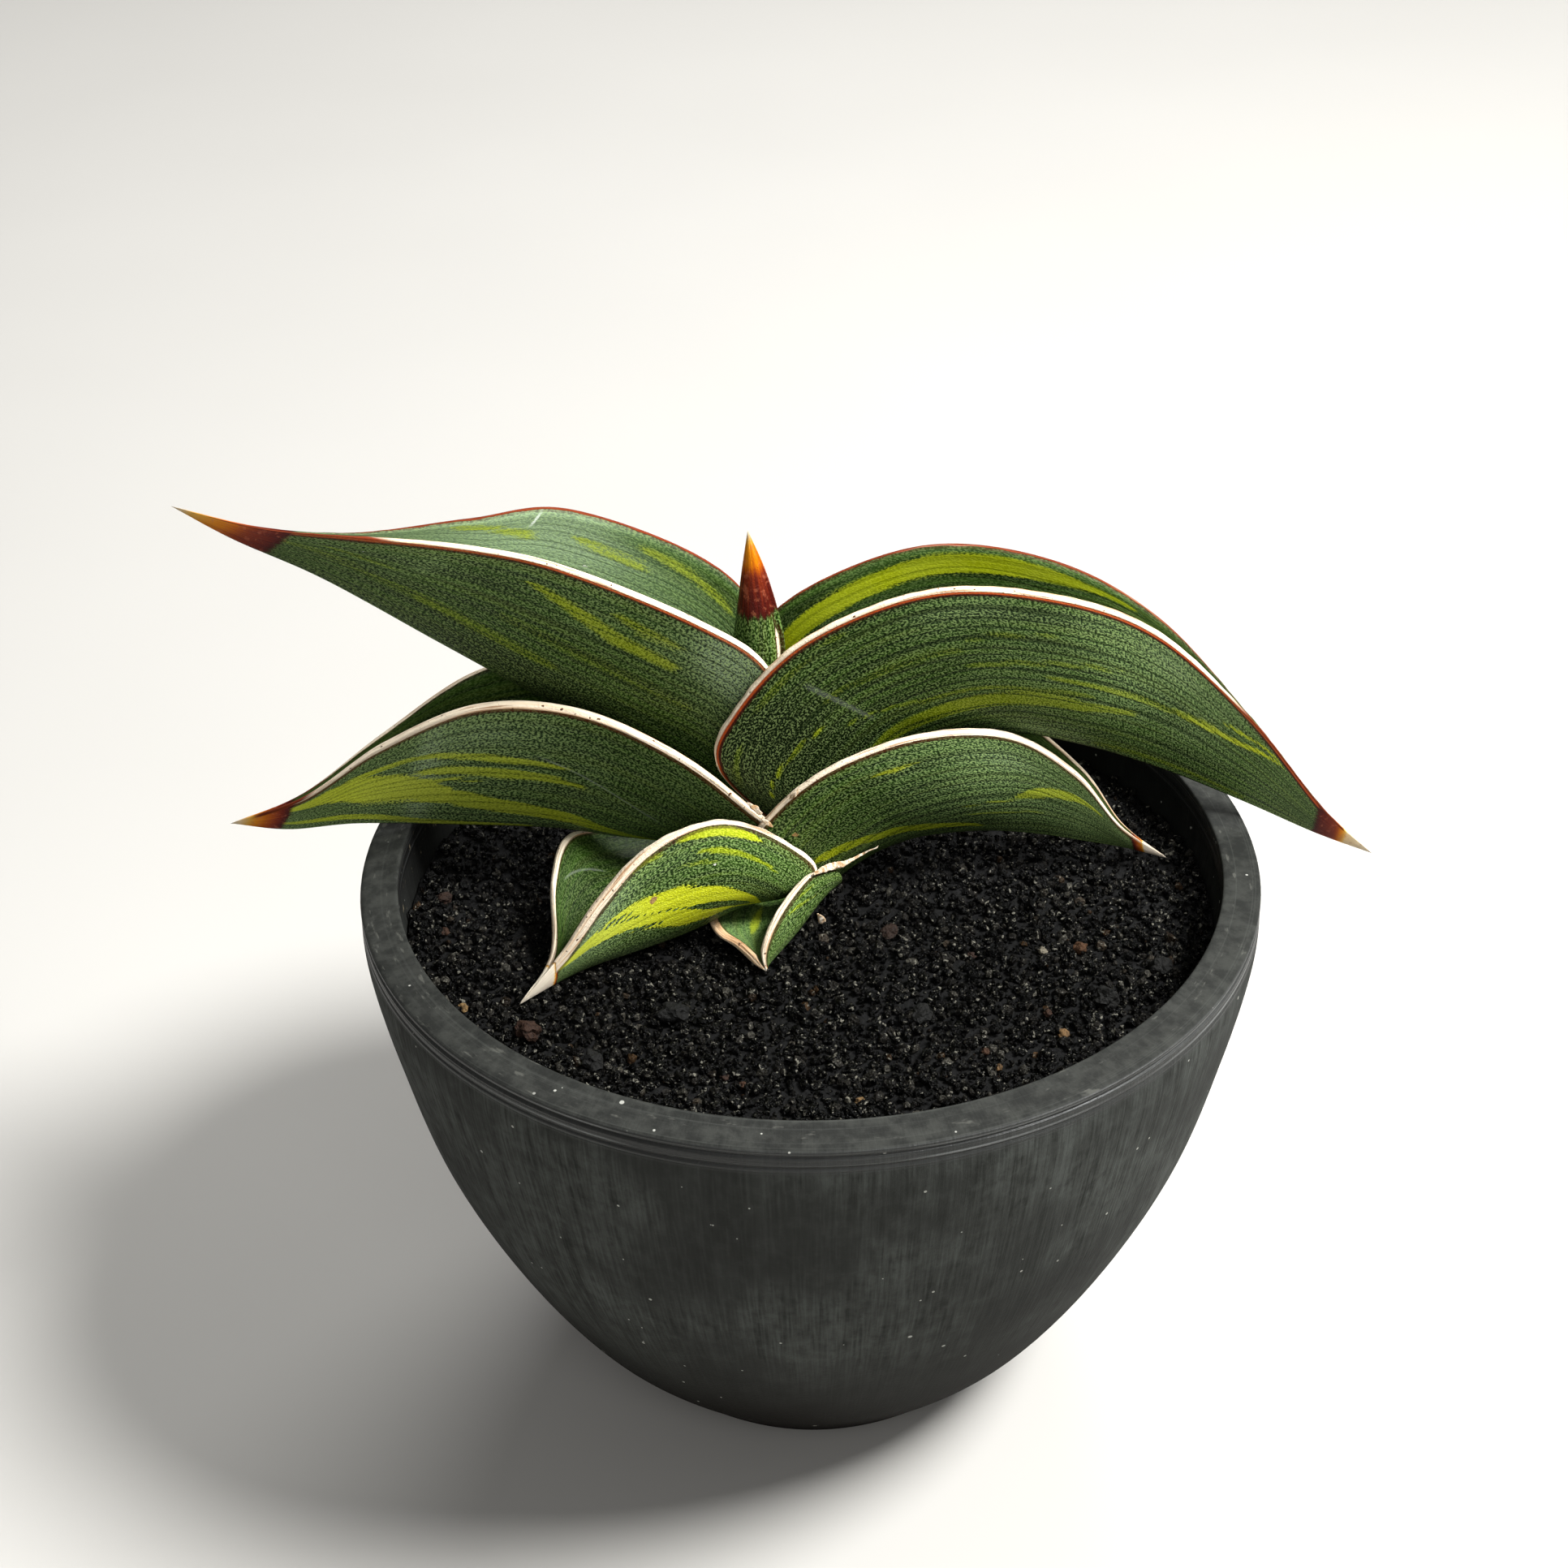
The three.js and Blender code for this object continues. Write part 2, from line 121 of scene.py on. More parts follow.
LEAVES["leaf_right_upper"] = dict(
    near=[(-4, 4.2, 81.5), (-12, 1.9, 93), (-10, 1.6, 101.3), (-0.5, 2, 112), (15.5, 2.5, 118.7),
          (32, 4, 116.8), (46, 7, 109.3), (59, 7.6, 96), (70, 8.2, 81), (77.5, 9, 73)],
    keel=[(5.2, 9, 79.6), (8.5, 9, 82.3), (11.5, 9, 86.5), (17, 9, 91), (26.5, 9, 93.5),
          (36.5, 9, 91.5), (47.5, 9, 87.5), (59, 9, 82), (69.5, 9, 76.5), (77.5, 9, 73)],
    far=[(-4, 13.8, 81.5), (-11, 16, 92.5), (-8, 16, 103.4), (0, 15.5, 112.5), (16, 15, 119),
         (32.5, 13, 117.5), (46.5, 11.5, 109.5), (59.5, 10.4, 94.5), (70, 9.8, 80.5), (77.5, 9, 73)],
    paper=((0.25, -0.2), (0.15, -0.45)),
    red_line=1, ribbing=1,
    rust=([(26, 1), (40, 0.3), (60, 0.25), (110, 0.3)], [(100, 0.85)]),
    # Near the base this row is painted shade; its paler bloom further out is partly painted light, partly
    # real bloom.
    bloom_and_shade=([(10, -0.75), (28, -0.4), (42, 0.1), (55, 0.4), (75, 0.65), (95, 0.65), (115, 0.25)],
           [(0, 0.3)]),
    tip=[(0, 3), (5.5, 2.7), (7.5, 1.3), (11, 1), (13.5, 0)],
    scratch={"outer": [((-83, 33), (-42, 35.9), 0.1, 0.6)]},
    marks={"outer": [(-63, 24.4, 0.36, 1), (-75, 67.2, 0.32, 0.85), (-96, 63.6, 0.2, 0.9)]},
    patches={"outer": [(-85, 91, 18, 10, 0.45), (-7, 63, 8, 9, 0.7), (-75, 24, 40, 13, -0.4),
                       (-10, 94, 16, 20, -0.95), (-88, 58, 6, 7, 0.4)]},
    streaks={"outer": [
        (1.1, 0.1, [(-89, 22, 1), (-91, 30, 1.3), (-93, 39, 1.3), (-97, 46, 1)]),
        (1.1, 0.12, [(-69, 32, 1), (-66, 40, 1.4), (-64, 48, 1.4), (-65, 56, 1.2)]),
        (1.1, 0.2, [(-71, 57, 1), (-73, 62, 1.4), (-76, 71, 1)]),
        (1.1, 0.25, [(-53, 54, 1), (-55, 61, 1.4), (-60, 74, 1.4), (-64, 82, 1)]),
        (1.1, 0.3, [(-50, 31, 1), (-40, 45, 1.4), (-39, 67, 1.6), (-40, 76, 1.2)]),
        (1.3, 0.42, [(-27, 27, 1.5), (-28, 35, 3.5), (-30, 55, 4.2), (-33, 67, 4.2), (-32, 74, 3),
                     (-37, 84, 1.5)]),
        (1.1, 0.38, [(-49, 68, 1), (-48, 80, 2.2), (-50, 90, 2.4), (-62, 100, 1.5)]),
        (1, 0.7, [(-50, 91, 1.5), (-55, 97, 3), (-63, 105, 3), (-86, 115, 1.5)]),
        (0.95, 0.6, [(-70, 101, 1.2), (-77, 106, 2), (-91, 115, 1.5)]),
        (0.8, 0.25, [(-5, 74, 2), (-7, 93, 3), (-5, 108, 2)]),
        (0.95, 0.5, [(-59, 29, 0.8), (-62, 23, 1.3), (-64, 18, 1.3), (-72, 10, 0.8)]),
        (1, 0.12, [(-88, 20, 1), (-89, 15, 2), (-90, 10, 1)]),
    ], "inner": [
        (1.3, 0.68, [(80, 15, 3), (82, 28, 5.5), (86, 43, 5.5), (88.5, 55, 6.2), (90, 66, 6),
                     (90.5, 75, 3.5), (91, 84, 1.5)]),
    ]},
)
LEAVES["leaf_left_middle"] = dict(
    near=[(-0.5, 4.4, 77), (-3, 0.6, 82.3), (-7, -0.4, 87), (-17, 0, 96), (-30, 2, 101.8),
          (-43.5, 4.5, 101.2), (-57, 7.2, 93.6), (-68, 8.2, 85.3), (-78.8, 9, 80.7)],
    keel=[(-9.5, 9, 75.2), (-12.5, 9, 76.2), (-16, 9, 76.8), (-24, 9, 77.3), (-35, 9, 79.2),
          (-48.5, 9, 80), (-61.5, 9, 80.4), (-71, 9, 79.6), (-78.8, 9, 80.7)],
    far=[(-0.5, 13.6, 77), (-3, 17.4, 82.3), (-7, 18.2, 87), (-17, 17.6, 97), (-30, 16, 103),
         (-44, 13.5, 101.8), (-57, 10.8, 93.9), (-68.5, 9.8, 85), (-78.8, 9, 80.7)],
    paper=((0.55, 0.1), (0.3, -0.3)),
    red_line=0.62, ribbing=0.65,
    rust=([(9, 1), (16, 0.15), (70, 0.1), (90, 0.35)], [(8, 1), (20, 0.3)]),
    bloom_and_shade=([(10, 0.3), (35, 0.65), (50, 0.75), (58, 0.95), (64, 0.95), (72, 0.6)], [(0, 0.15)]),
    tip=[(0, 3), (3, 2.5), (6, 1.7), (9, 1.1), (11.5, 0)],
    scratch={"outer": [((-66, 46), (-40, 24), 0.18, 0.2)]},
    patches={"outer": [(-45, 61.5, 50, 2.2, 0.6), (-90, 38, 20, 9, -0.3), (-80, 51, 14, 8, 0.35)],
             "inner": [(60, 60, 60, 30, -0.6)]},
    streaks={"outer": [
        (1.3, 0.72, [(-75, 89, 4), (-66, 80, 12), (-47, 71, 16), (-40, 63, 11), (-30, 56, 6.5)]),
        (1.3, 0.62, [(-30, 57, 6.5), (-23, 49, 5), (-18, 39, 4.5), (-12, 32, 4), (-7, 18, 3)]),
        (1, 0.6, [(-76, 77, 1.5), (-71, 71, 3), (-71, 64, 2.2), (-65, 57, 3), (-61, 49, 3),
                  (-60, 41, 1.2)]),
        (1.1, 0.6, [(-56, 63, 2), (-53, 57, 3.5), (-50, 50, 3.5), (-50, 44, 2.8), (-48, 37, 1)]),
        (0.8, 0.6, [(-50, 66, 1.5), (-47, 60, 2), (-43, 52, 1)]),
        (1.1, 0.58, [(-27, 89, 3), (-20, 83, 4.5), (-11, 71, 4), (-4, 60, 3), (-2, 44, 1.5)]),
    ]},
)
LEAVES["leaf_right_middle"] = dict(
    near=[(-5, 0, 75), (-9, -1.8, 80), (-5.5, -2, 87.4), (2.5, -1.2, 94.3), (14.5, 1.5, 97.5),
          (26.5, 5.5, 95), (36, 7.5, 87.5), (42.5, 8.3, 78.5), (49.5, 9.5, 72.3)],
    keel=[(5.5, 9, 73), (7.8, 9, 74.2), (11, 9, 75.6), (16, 9, 77), (24, 9, 77.7), (31.5, 9, 77),
          (38, 9, 75.7), (43.5, 9, 74.5), (49.5, 9.5, 72.3)],
    far=[(-5, 17.4, 75), (-9, 19.4, 80), (-5.5, 20, 87), (3, 19.2, 94), (15, 16.5, 98), (26, 12.5, 96),
         (37, 10.5, 87), (43, 9.9, 78), (49.5, 9.5, 72.3)],
    paper=((0.35, -0.15), (0.3, -0.2)),
    red_line=0.58, ribbing=0.7,
    rust=([(0, 0.2), (20, 0.2)], [(0, 0.1)]),
    bloom_and_shade=([(10, 0.2), (30, 0.45), (45, 0.65), (60, 0.75)], [(0, 0.3)]),
    tip=[(0, 3.8), (4.5, 3.6), (5.5, 1.8), (6.5, 1.4), (8, 0)],
    marks={"outer": [(-80, 14.7, 0.45, 0.5), (-86, 16.6, 0.25, 0.3)]},
    patches={"outer": [(-77, 50, 14, 7, 0.45), (-75, 20, 30, 9, -0.3)]},
    streaks={"outer": [
        (1, 0.75, [(-83, 29, 0.8), (-82, 33, 1.8), (-82, 38, 1)]),
        (0.9, 0.5, [(-37, 36, 0.6), (-38, 41, 1), (-40, 50, 1.4)]),
        (1.05, 0.65, [(-42, 49, 1.5), (-49, 54, 5), (-55, 57, 5.5), (-64, 63, 5), (-72, 71, 2)]),
        (1.2, 0.58, [(-55, 10, 4), (-44, 17, 4.5), (-36, 21, 4.5), (-25, 30, 4), (-14, 40, 2)]),
        (0.75, 0.45, [(-30, 38, 1), (-27, 47, 1.5), (-30, 56, 1)]),
    ]},
)
LEAVES["leaf_left_lower"] = dict(
    near=[(0.8, -1.8, 76.5), (0.3, -2.5, 81.1), (-7, -4.6, 88), (-13.5, -7, 90.4), (-21, -9.5, 88),
          (-27, -13, 83), (-32, -17, 77.4), (-38, -22, 72.5)],
    keel=[(-12, 3, 73.8), (-10, -1.5, 74.4), (-12, -5.5, 74.4), (-16.5, -8.5, 73.8), (-22.5, -11, 73),
          (-28.3, -13.8, 72.7), (-32.6, -16.6, 72.4), (-38, -22, 72.5)],
    far=[(-4, 21.2, 75.4), (-12, 20.2, 76.3), (-20, 17, 76.5), (-28, 12.5, 76.8), (-33.2, 6.8, 79.1),
         (-34.7, -2, 77.9), (-34.3, -14, 74.7), (-38, -22, 72.5)],
    paper=((0.5, 0.1), (0.4, 0.45)),
    paper_flare=1.5,
    red_line=0.52, ribbing=0.45,
    rust=([(0, 0.05)], [(0, 0.05)]),
    bloom_and_shade=([(10, 0), (25, 0.25), (40, 0.7)], [(0, -0.3)]),
    tip=[(0, 3.8), (7, 3.4), (7.2, 2.4), (7.8, 0)],
    scratch={"inner": [((84, 36.8), (62, 27.2), 0.1, 0.3)]},
    marks={"outer": [(-59, 31.2, 0.6, 0.5), (-97, 42.3, 0.22, 0), (-21, 21.9, 0.3, 0.9),
                     (-69, 21.9, 0.3, 0.9)],
           "inner": [(64, 42.9, 0.5, 0), (70, 43.6, 0.3, 0)]},
    patches={"outer": [(-86, 38, 14, 8, 0.5), (-5, 32, 12, 9, 0.7), (-60, 44, 20, 7, 0.6),
                       (60, 30, 50, 40, -0.6)],
             "inner": [(82, 31, 14, 3, 0.3), (55, 34, 45, 9, -0.4)]},
    streaks={"outer": [
        (1.5, 0.95, [(-64, 53, 4), (-60, 46, 7), (-56, 38, 10), (-48, 31, 13), (-39, 25, 15),
                     (-36, 21, 13), (-37, 17, 8.5), (-36, 11, 5), (-35, 6, 1)]),
        (-1, 0, [(-62, 40, 0.8), (-54, 35, 1.4), (-47, 31, 0.6), (-40, 26, 1.2), (-35, 22, 3.5),
                 (-33, 16, 3.5), (-34, 9, 0.8)]),
        (-1, 0, [(-33, 37, 1), (-27, 33, 3.5), (-16, 28, 3.5), (-8, 22, 1)]),
        (-1, 0, [(-52, 46, 0.6), (-47, 41, 1.4), (-41, 35, 1.4), (-34, 29, 0.6)]),
        (-1, 0, [(-68, 42, 0.6), (-63, 38, 1.1), (-56, 33, 0.6)]),
        (1.2, 0.66, [(-94, 27, 1.5), (-93, 23, 3.5), (-92, 19, 4), (-90, 14, 2)]),
        (1, 0.45, [(-96.5, 38, 1), (-94, 33, 3), (-90, 28.5, 2)]),
        (1.1, 0.5, [(-82, 25, 1), (-79, 21, 2.4), (-76, 17, 2), (-72, 10, 1)]),
        (0.9, 0.35, [(-75, 27, 1), (-73, 24, 1.8), (-71, 21, 1)]),
    ]},
)
LEAVES["leaf_right_lower"] = dict(
    near=[(3.6, 0.4, 77.4), (2.9, -1, 78.7), (0.2, -4.5, 80.2), (-2.2, -7.3, 79.2), (-4.6, -11, 77.4),
          (-6.1, -14, 74.8), (-6, -15.5, 72.5)],
    keel=[(0.6, 2, 73), (0.5, 0.5, 73), (-0.2, -2.8, 73), (-1.9, -7.4, 72.8), (-3.9, -11, 72.6),
          (-5.4, -13.6, 72.5), (-6, -15.5, 72.5)],
    far=[(-9, 6, 73.5), (-12, 1, 73.4), (-13.6, -4.2, 73.4), (-12.6, -8.4, 73.5), (-10.1, -10.9, 73.2),
         (-7.6, -14.2, 72.8), (-6, -15.5, 72.5)],
    paper=((0.4, 0.1), (0.4, 0.1)),
    red_line=0.4, ribbing=0.2,
    rust=([(0, 0.05)], [(0, 0)]),
    bloom_and_shade=([(0, 0.15), (15, 0.3)], [(0, 0.5)]),
    tip=[(0, 3.8), (0.9, 3.6), (1.1, 0)],
    streaks={"outer": [
        (0.7, 0.45, [(-82, 14, 2), (-72, 11, 4.5), (-55, 7, 2)]),
        (0.7, 0.4, [(-86, 11.5, 1.5), (-84, 9.6, 3.5), (-80, 7, 1.5)]),
    ], "inner": [
        (0.75, 0.5, [(55, 11, 4), (50, 8.5, 7), (48, 5, 3)]),
    ]},
)

# Rings of the rolled young leaf: centre, half breadth and half depth
SPIKE_RINGS = [
    ((-2.6, 9, 87.3), 1.4, 1.3),
    ((-4.5, 9, 94), 2.3, 1.8),
    ((-6.2, 9, 101), 3.2, 2.6),
    ((-6.3, 9, 108), 3.4, 2.8),
    ((-6.5, 9, 114), 2.5, 2.2),
    ((-6.9, 9, 119.5), 1.4, 1.3),
    ((-7.5, 9, 124.8), 0, 0),
]
SPIKE_TIP = [(0, 3), (1, 2.6), (2.2, 2.1), (4.6, 1.8), (6.2, 1.2), (11, 0.9), (13.5, 0)]
FURROW_DEPTH = 0.16
FURROW_ANGLE = -0.5

# Half the pot's outer outline up to the rim, and the rim on from there, as radius and height
POT_BODY = [(26.4, 0), (30, 4), (38.5, 14), (46.6, 28), (53.4, 44), (57.5, 60), (59.8, 72), (60, 78.7)]
POT_RIM = [(59.9, 79), (59.6, 79.2), (59.1, 79.3), (58.2, 79.42), (57.4, 79.5), (56.2, 79.72),
           (55.5, 79.84), (55.2, 79.86), (55.02, 79.76), (54.97, 79.55)]
# Grooves turned under the rim: height, depth and breadth
GROOVES = [(78.45, 0.1, 0.1), (78, 0.35, 0.24), (77.35, 0.07, 0.12), (76.4, 0.2, 0.26), (75.75, 0.06, 0.1)]
POT_WALL = 5
POT_FLOOR = 5
DRAIN_RADIUS = 2.5
DRAIN_RING = 13  # from the pot's axis

GRIT_LEVEL = 71.25
GRIT_REACH = 54  # from the pot's axis
GRIT_GAP = 0.35  # between the pot and the body of the grit
CROWN_Y = 9  # where the plant stands, from front to back
CROWN_REACH = 3.4  # kept clear of grains

CRUMPLE_SEED = 1795766727
# Dry papery bits about the crown: the points of each strip, its half breadths and the way it lies across
FLAKES = [
    ([(3.4, -1.2, 79.3), (4.9, -0.1, 79), (6.7, 2.3, 78.5), (9.4, 3.1, 79.4)],
     (0.5, 0.3, 0.16, 0.06), (-0.2, 0.4, 0.9)),
    ([(0.4, -4.7, 80.5), (1.6, -3.7, 80.4), (3, -2, 79.8), (4.4, -0.5, 79.1)],
     (0.15, 0.42, 0.5, 0.3), (-0.3, 0.2, 0.9)),
    ([(-2.6, -2, 90.8), (-1.9, -2.3, 91.5), (-1.3, -2, 92.1)], (0.2, 0.5, 0.15), (0.2, 0.2, 0.9)),
    ([(-8.2, -1.1, 89.6), (-7.2, -1.3, 88.8), (-6.3, -1.4, 87.9)], (0.1, 0.4, 0.2), (0.6, 0.1, 0.7)),
    ([(-6.2, -1.9, 87.6), (-5.5, -2.3, 87), (-4.8, -2.4, 86.6)], (0.15, 0.3, 0.08), (0.5, 0.2, 0.8)),
    ([(1.7, -4.6, 72.4), (1.4, -5.3, 73.5), (1, -5.8, 74.7)], (0.3, 0.5, 0.12), (0.9, 0.3, 0.3)),
]

# Lumps among the grains: place across and along, half breadth and tone, from 0, black, over 0.4, dark
# brown, 0.6, rust and 0.8, tan, to 1, pale grey
LUMPS = [
    (-36.6, -26.8, 1.5, 0.4), (-45.4, -21.1, 0.8, 0.8), (35.6, -10.1, 1.1, 0.56), (5.6, -41.2, 0.6, 0.76),
    (4.1, -40.6, 0.5, 0.98), (31.9, -28.4, 0.85, 0.7), (30.4, -24, 0.7, 0.42), (10.4, -5.8, 1.1, 0.3),
    (30.6, -10.5, 0.6, 0.95), (21.8, -31.5, 0.6, 0.46), (23.3, -34.9, 0.5, 0.7), (21.2, -11, 0.7, 0.34),
    (-49.8, 3.3, 1.1, 0.36), (-49.1, -4.3, 0.6, 0.42), (-18.7, -36.3, 0.5, 0.56), (-11.3, -36, 0.6, 0.36),
    (-9, -37.4, 0.5, 0.46), (-18, -23.8, 1.9, 0.06), (45.8, -14.9, 1.6, 0.12), (14, -24, 1.5, 0.1),
    (38, -22, 1.7, 0.14), (-28, -33, 1.5, 0.08), (27, 22, 1.6, 0.1), (-24, 26, 1.4, 0.4), (4, 36, 1.2, 0.6),
    (44, 12, 1.3, 0.12), (-12, 44, 0.9, 0.8),
]


# Shapes

def guide(points, stations):
    """Places on the smooth curve through the guide points, at guide numbers that may be fractions."""
    p = np.array(points, float)
    p = np.vstack([2 * p[0] - p[1], p, 2 * p[-1] - p[-2]])
    first = np.clip(np.floor(stations).astype(int), 0, len(points) - 2)
    t = (stations - first)[:, None]
    a, b, c, d = (p[first + i] for i in range(4))
    return 0.5 * (2 * b + (c - a) * t + (2 * a - 5 * b + 4 * c - d) * t ** 2
                  + (3 * b - a - 3 * c + d) * t ** 3)


def even_stations(points, spacing):
    """Guide numbers whose places lie evenly along the curve."""
    dense = np.linspace(0, len(points) - 1, 1200)
    steps = np.linalg.norm(np.diff(guide(points, dense), axis=0), axis=1)
    length = np.concatenate([[0], np.cumsum(steps)])
    rings = int(length[-1] / spacing)
    wanted = np.linspace(0, length[-1], rings + 1)
    return np.interp(wanted, length, dense), wanted


def shaped_sheet(places, layers):
    """A grid sheet moved to the given places, [row, column], with its side seams and its tip merged.
    Each layer is a number for every place, kept on the vertices for the materials to read."""
    rows, columns = places.shape[0] - 1, places.shape[1] - 1
    bm = bmesh.new()
    bmesh.ops.create_grid(bm, x_segments=columns, y_segments=rows, size=0.5)
    stores = [(bm.verts.layers.float.new(name), np.broadcast_to(values, places.shape[:2]))
              for name, values in layers.items()]
    for v in bm.verts:
        column = round((v.co.x + 0.5) * columns)
        row = round((v.co.y + 0.5) * rows)
        v.co = Vector(places[row, column] * MM)
        for store, values in stores:
            v[store] = values[row, column]
    bmesh.ops.remove_doubles(bm, verts=bm.verts, dist=1e-7)
    bmesh.ops.holes_fill(bm, edges=[e for e in bm.edges if e.is_boundary], sides=0)
    bmesh.ops.recalc_face_normals(bm, faces=bm.faces)
    return bm


def turned(outline, steps, rim_end=math.inf):
    """A solid turned about the upright axis from radii and heights. From the number rim_end on they
    are marked as within the pot."""
    bm = bmesh.new()
    within = bm.verts.layers.float.new("within")
    last = None
    for i, (r, z) in enumerate(outline):
        v = bm.verts.new((r * MM, 0, z * MM))
        v[within] = float(i >= rim_end)
        if last is not None:
            bm.edges.new((last, v))
        last = v
    chain = list(bm.verts) + list(bm.edges)
    bmesh.ops.spin(bm, geom=chain, cent=(0, 0, 0), axis=(0, 0, 1), angle=math.tau, steps=steps,
                   use_merge=True)
    bmesh.ops.remove_doubles(bm, verts=bm.verts, dist=1e-6)
    bmesh.ops.recalc_face_normals(bm, faces=bm.faces)
    return bm


def as_mesh(bm, name):
    mesh = bpy.data.meshes.new(name)
    bm.to_mesh(mesh)
    bm.free()
    return mesh


def placed(name, data):
    """An object with the given mesh, light or camera, in the scene."""
    thing = bpy.data.objects.new(name, data)
    bpy.context.scene.collection.objects.link(thing)
    return thing


def finished(bm, name, material, smooth=True):
    """The bmesh as a named piece of the object with its material."""
    mesh = as_mesh(bm, name)
    if smooth:
        mesh.shade_smooth()
    mesh.materials.append(material)
    piece = placed(name, mesh)
    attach(piece, "root")
    return piece


def leaf_columns():
    """Every column round a leaf: its place across the outer face or channel from -1, the near margin,
    to 1, the far one, and how far it has turned over the papery edge, from 0, outside, to 1, inside."""
    outer = np.linspace(-1, 1, OUTER_FACETS + 1)
    turn = np.linspace(0, 1, EDGE_FACETS + 1)[1:-1]
    channel = np.linspace(1, -1, CHANNEL_FACETS + 1)
    across = np.concatenate([outer, np.ones(len(turn)), channel, -np.ones(len(turn)), [-1]])
    turned = np.concatenate([np.zeros(len(outer)), turn, np.ones(len(channel)), turn[::-1], [0]])
    return across, turned


def face_share(girth):
    """How far round a face each column lies, from -1 to 1 with 0 at its middle column."""
    middle = girth[:, [girth.shape[1] // 2]]
    start, end = girth[:, [0]], girth[:, [-1]]
    reach = np.where(girth < middle, middle - start, end - middle)
    return (girth - middle) / np.maximum(reach, 1e-6)


def leaf_places(leaf):
    """Places and layers of a leaf's skin, [row, column], and the distance round it from the near seam."""
    stations, lengths = even_stations(leaf["near"], RING_SPACING)
    near, keel, far = (guide(leaf[edge], stations) for edge in ("near", "keel", "far"))
    lengths = lengths[:, None]
    across, turn = leaf_columns()
    half = 0.5 * (far - near)
    half_gap = np.linalg.norm(half, axis=1, keepdims=True)
    deep = 0.5 * (near + far) - keel
    margin = np.minimum(MARGIN, 0.7 * half_gap)
    fill = EDGE_FILL + (KEEL_FILL - EDGE_FILL) * np.clip((half_gap - 0.8) / 4, 0, 1)
    roundness = 0.95 - 0.35 * np.clip(stations[:, None] / 3, 0, 1)
    x = roundness * np.sin(across * math.pi / 2) + (1 - roundness) * across
    z = roundness * (1 - np.cos(across * math.pi / 2)) + (1 - roundness) * np.abs(across)
    inset = np.divide(margin, half_gap, out=np.full_like(margin, 0.7), where=half_gap > 1e-9)
    wide = x * (1 - inset * turn)
    base = fill * turn
    high = base + (1 - base) * z
    # The papery edge swells a little between its two corners.
    wave = np.sin(1.3 * lengths) * np.sin(0.47 * lengths + 2 * across)
    swell = np.sin(turn * math.pi) * (np.abs(across) > 0.999) * (1 + 0.6 * wave)
    depth = np.linalg.norm(deep, axis=1, keepdims=True)
    high = high + swell * BEAD * np.minimum(1, half_gap / 2) / np.maximum(depth, 0.5)
    places = keel[:, None] + half[:, None] * wide[..., None] + deep[:, None] * high[..., None]
    places[-1] = keel[-1]
    steps = np.linalg.norm(np.diff(places, axis=1), axis=2)
    girth = np.concatenate([np.zeros((len(places), 1)), np.cumsum(steps, axis=1)], axis=1)
    laid = np.tile(across, (len(places), 1))
    for face in (slice(0, OUTER_FACETS + 1), CHANNEL):
        laid[:, face] = face_share(girth[:, face]) * np.sign(across[face][-1])
    return places, {"across": laid, "inside": turn, "length": lengths, "tip": lengths[-1] - lengths}, girth


# Painting of the leaves, as numbers on their skins that the leaf material reads

def on_faces(leaf, kind, layers):
    """Each row of a leaf's list, with the columns of the skin that lie on the row's face."""
    for face, rows in leaf.get(kind, {}).items():
        here = (layers["inside"] > 0.5) == (face == "inner")
        for row in rows:
            yield here, row


def read_steps(steps, where):
    return np.interp(where, *zip(*steps))


def streak_level(points, across, length):
    """How strongly one streak shows: 1 on its middle, a half at its border, fading at its ends."""
    places, bases, breadths = zip(*sorted(points, key=lambda point: point[1]))
    offset = np.abs(across - np.interp(length, bases, places))
    level = np.clip(1 - 0.5 * (offset / np.interp(length, bases, breadths)) ** 1.5, 0, 1)
    inwards = np.minimum(length - bases[0], bases[-1] - length)
    return level * np.clip(inwards / 3 + 0.5, 0, 1)


def paint_streaks(leaf, layers):
    """The yellow of the streaks and how bright it is."""
    across = 100 * layers["across"]
    yellow = np.full(across.shape, 0.12)
    bright = np.full(across.shape, 0.3)
    for here, (strength, brightness, points) in on_faces(leaf, "streaks", layers):
        for side, shift in ((1, 0), (-1, MIRROR_SHIFT)):
            level = here * streak_level(points, across * side, layers["length"] + shift)
            if strength < 0:
                yellow = yellow * (1 - np.clip(level * 2 - 0.4, 0, 1))
            else:
                bright = np.where(level * strength > yellow, brightness, bright)
                yellow = np.maximum(yellow, level * strength)
    layers.update(yellow=yellow, bright=bright)


def paint_paper(leaf, layers, girth):
    """Distance out of the papery edges, negative on the paper, and where the line under it may show."""
    (near_out, near_in), (far_out, far_in) = leaf["paper"]
    near_out = near_out + leaf.get("paper_flare", 0) * np.clip(1 - layers["tip"] / FLARE_LENGTH, 0, 1)
    seam, outer_far, inner_far, inner_near, end = (
        girth[:, [column]] for column in (0, OUTER_FACETS, CHANNEL.start, CHANNEL.stop - 1, -1))
    spans = ((outer_far - far_out, inner_far + far_in), (inner_near - near_in, end + near_out),
             (seam - 1, seam + near_out))
    layers["past_paper"] = np.min([np.maximum(low - girth, girth - high) for low, high in spans], axis=0)
    layers["line"] = np.where(layers["inside"] > 0, 0.3, 1) * leaf["red_line"]


def paint_bloom_and_shade(leaf, layers):
    # Values below zero are painted shade, which the material turns into a deeper green.
    outer, channel = (read_steps(steps, layers["length"]) for steps in leaf["bloom_and_shade"])
    bloom_and_shade = np.where(layers["inside"] > 0.5, channel, outer)
    for here, (place, base, breadth, reach, amount) in on_faces(leaf, "patches", layers):
        off = ((100 * layers["across"] - place) / breadth) ** 2 + ((layers["length"] - base) / reach) ** 2
        bloom_and_shade = bloom_and_shade + amount * np.exp(-off) * here
    layers["bloom_and_shade"] = bloom_and_shade


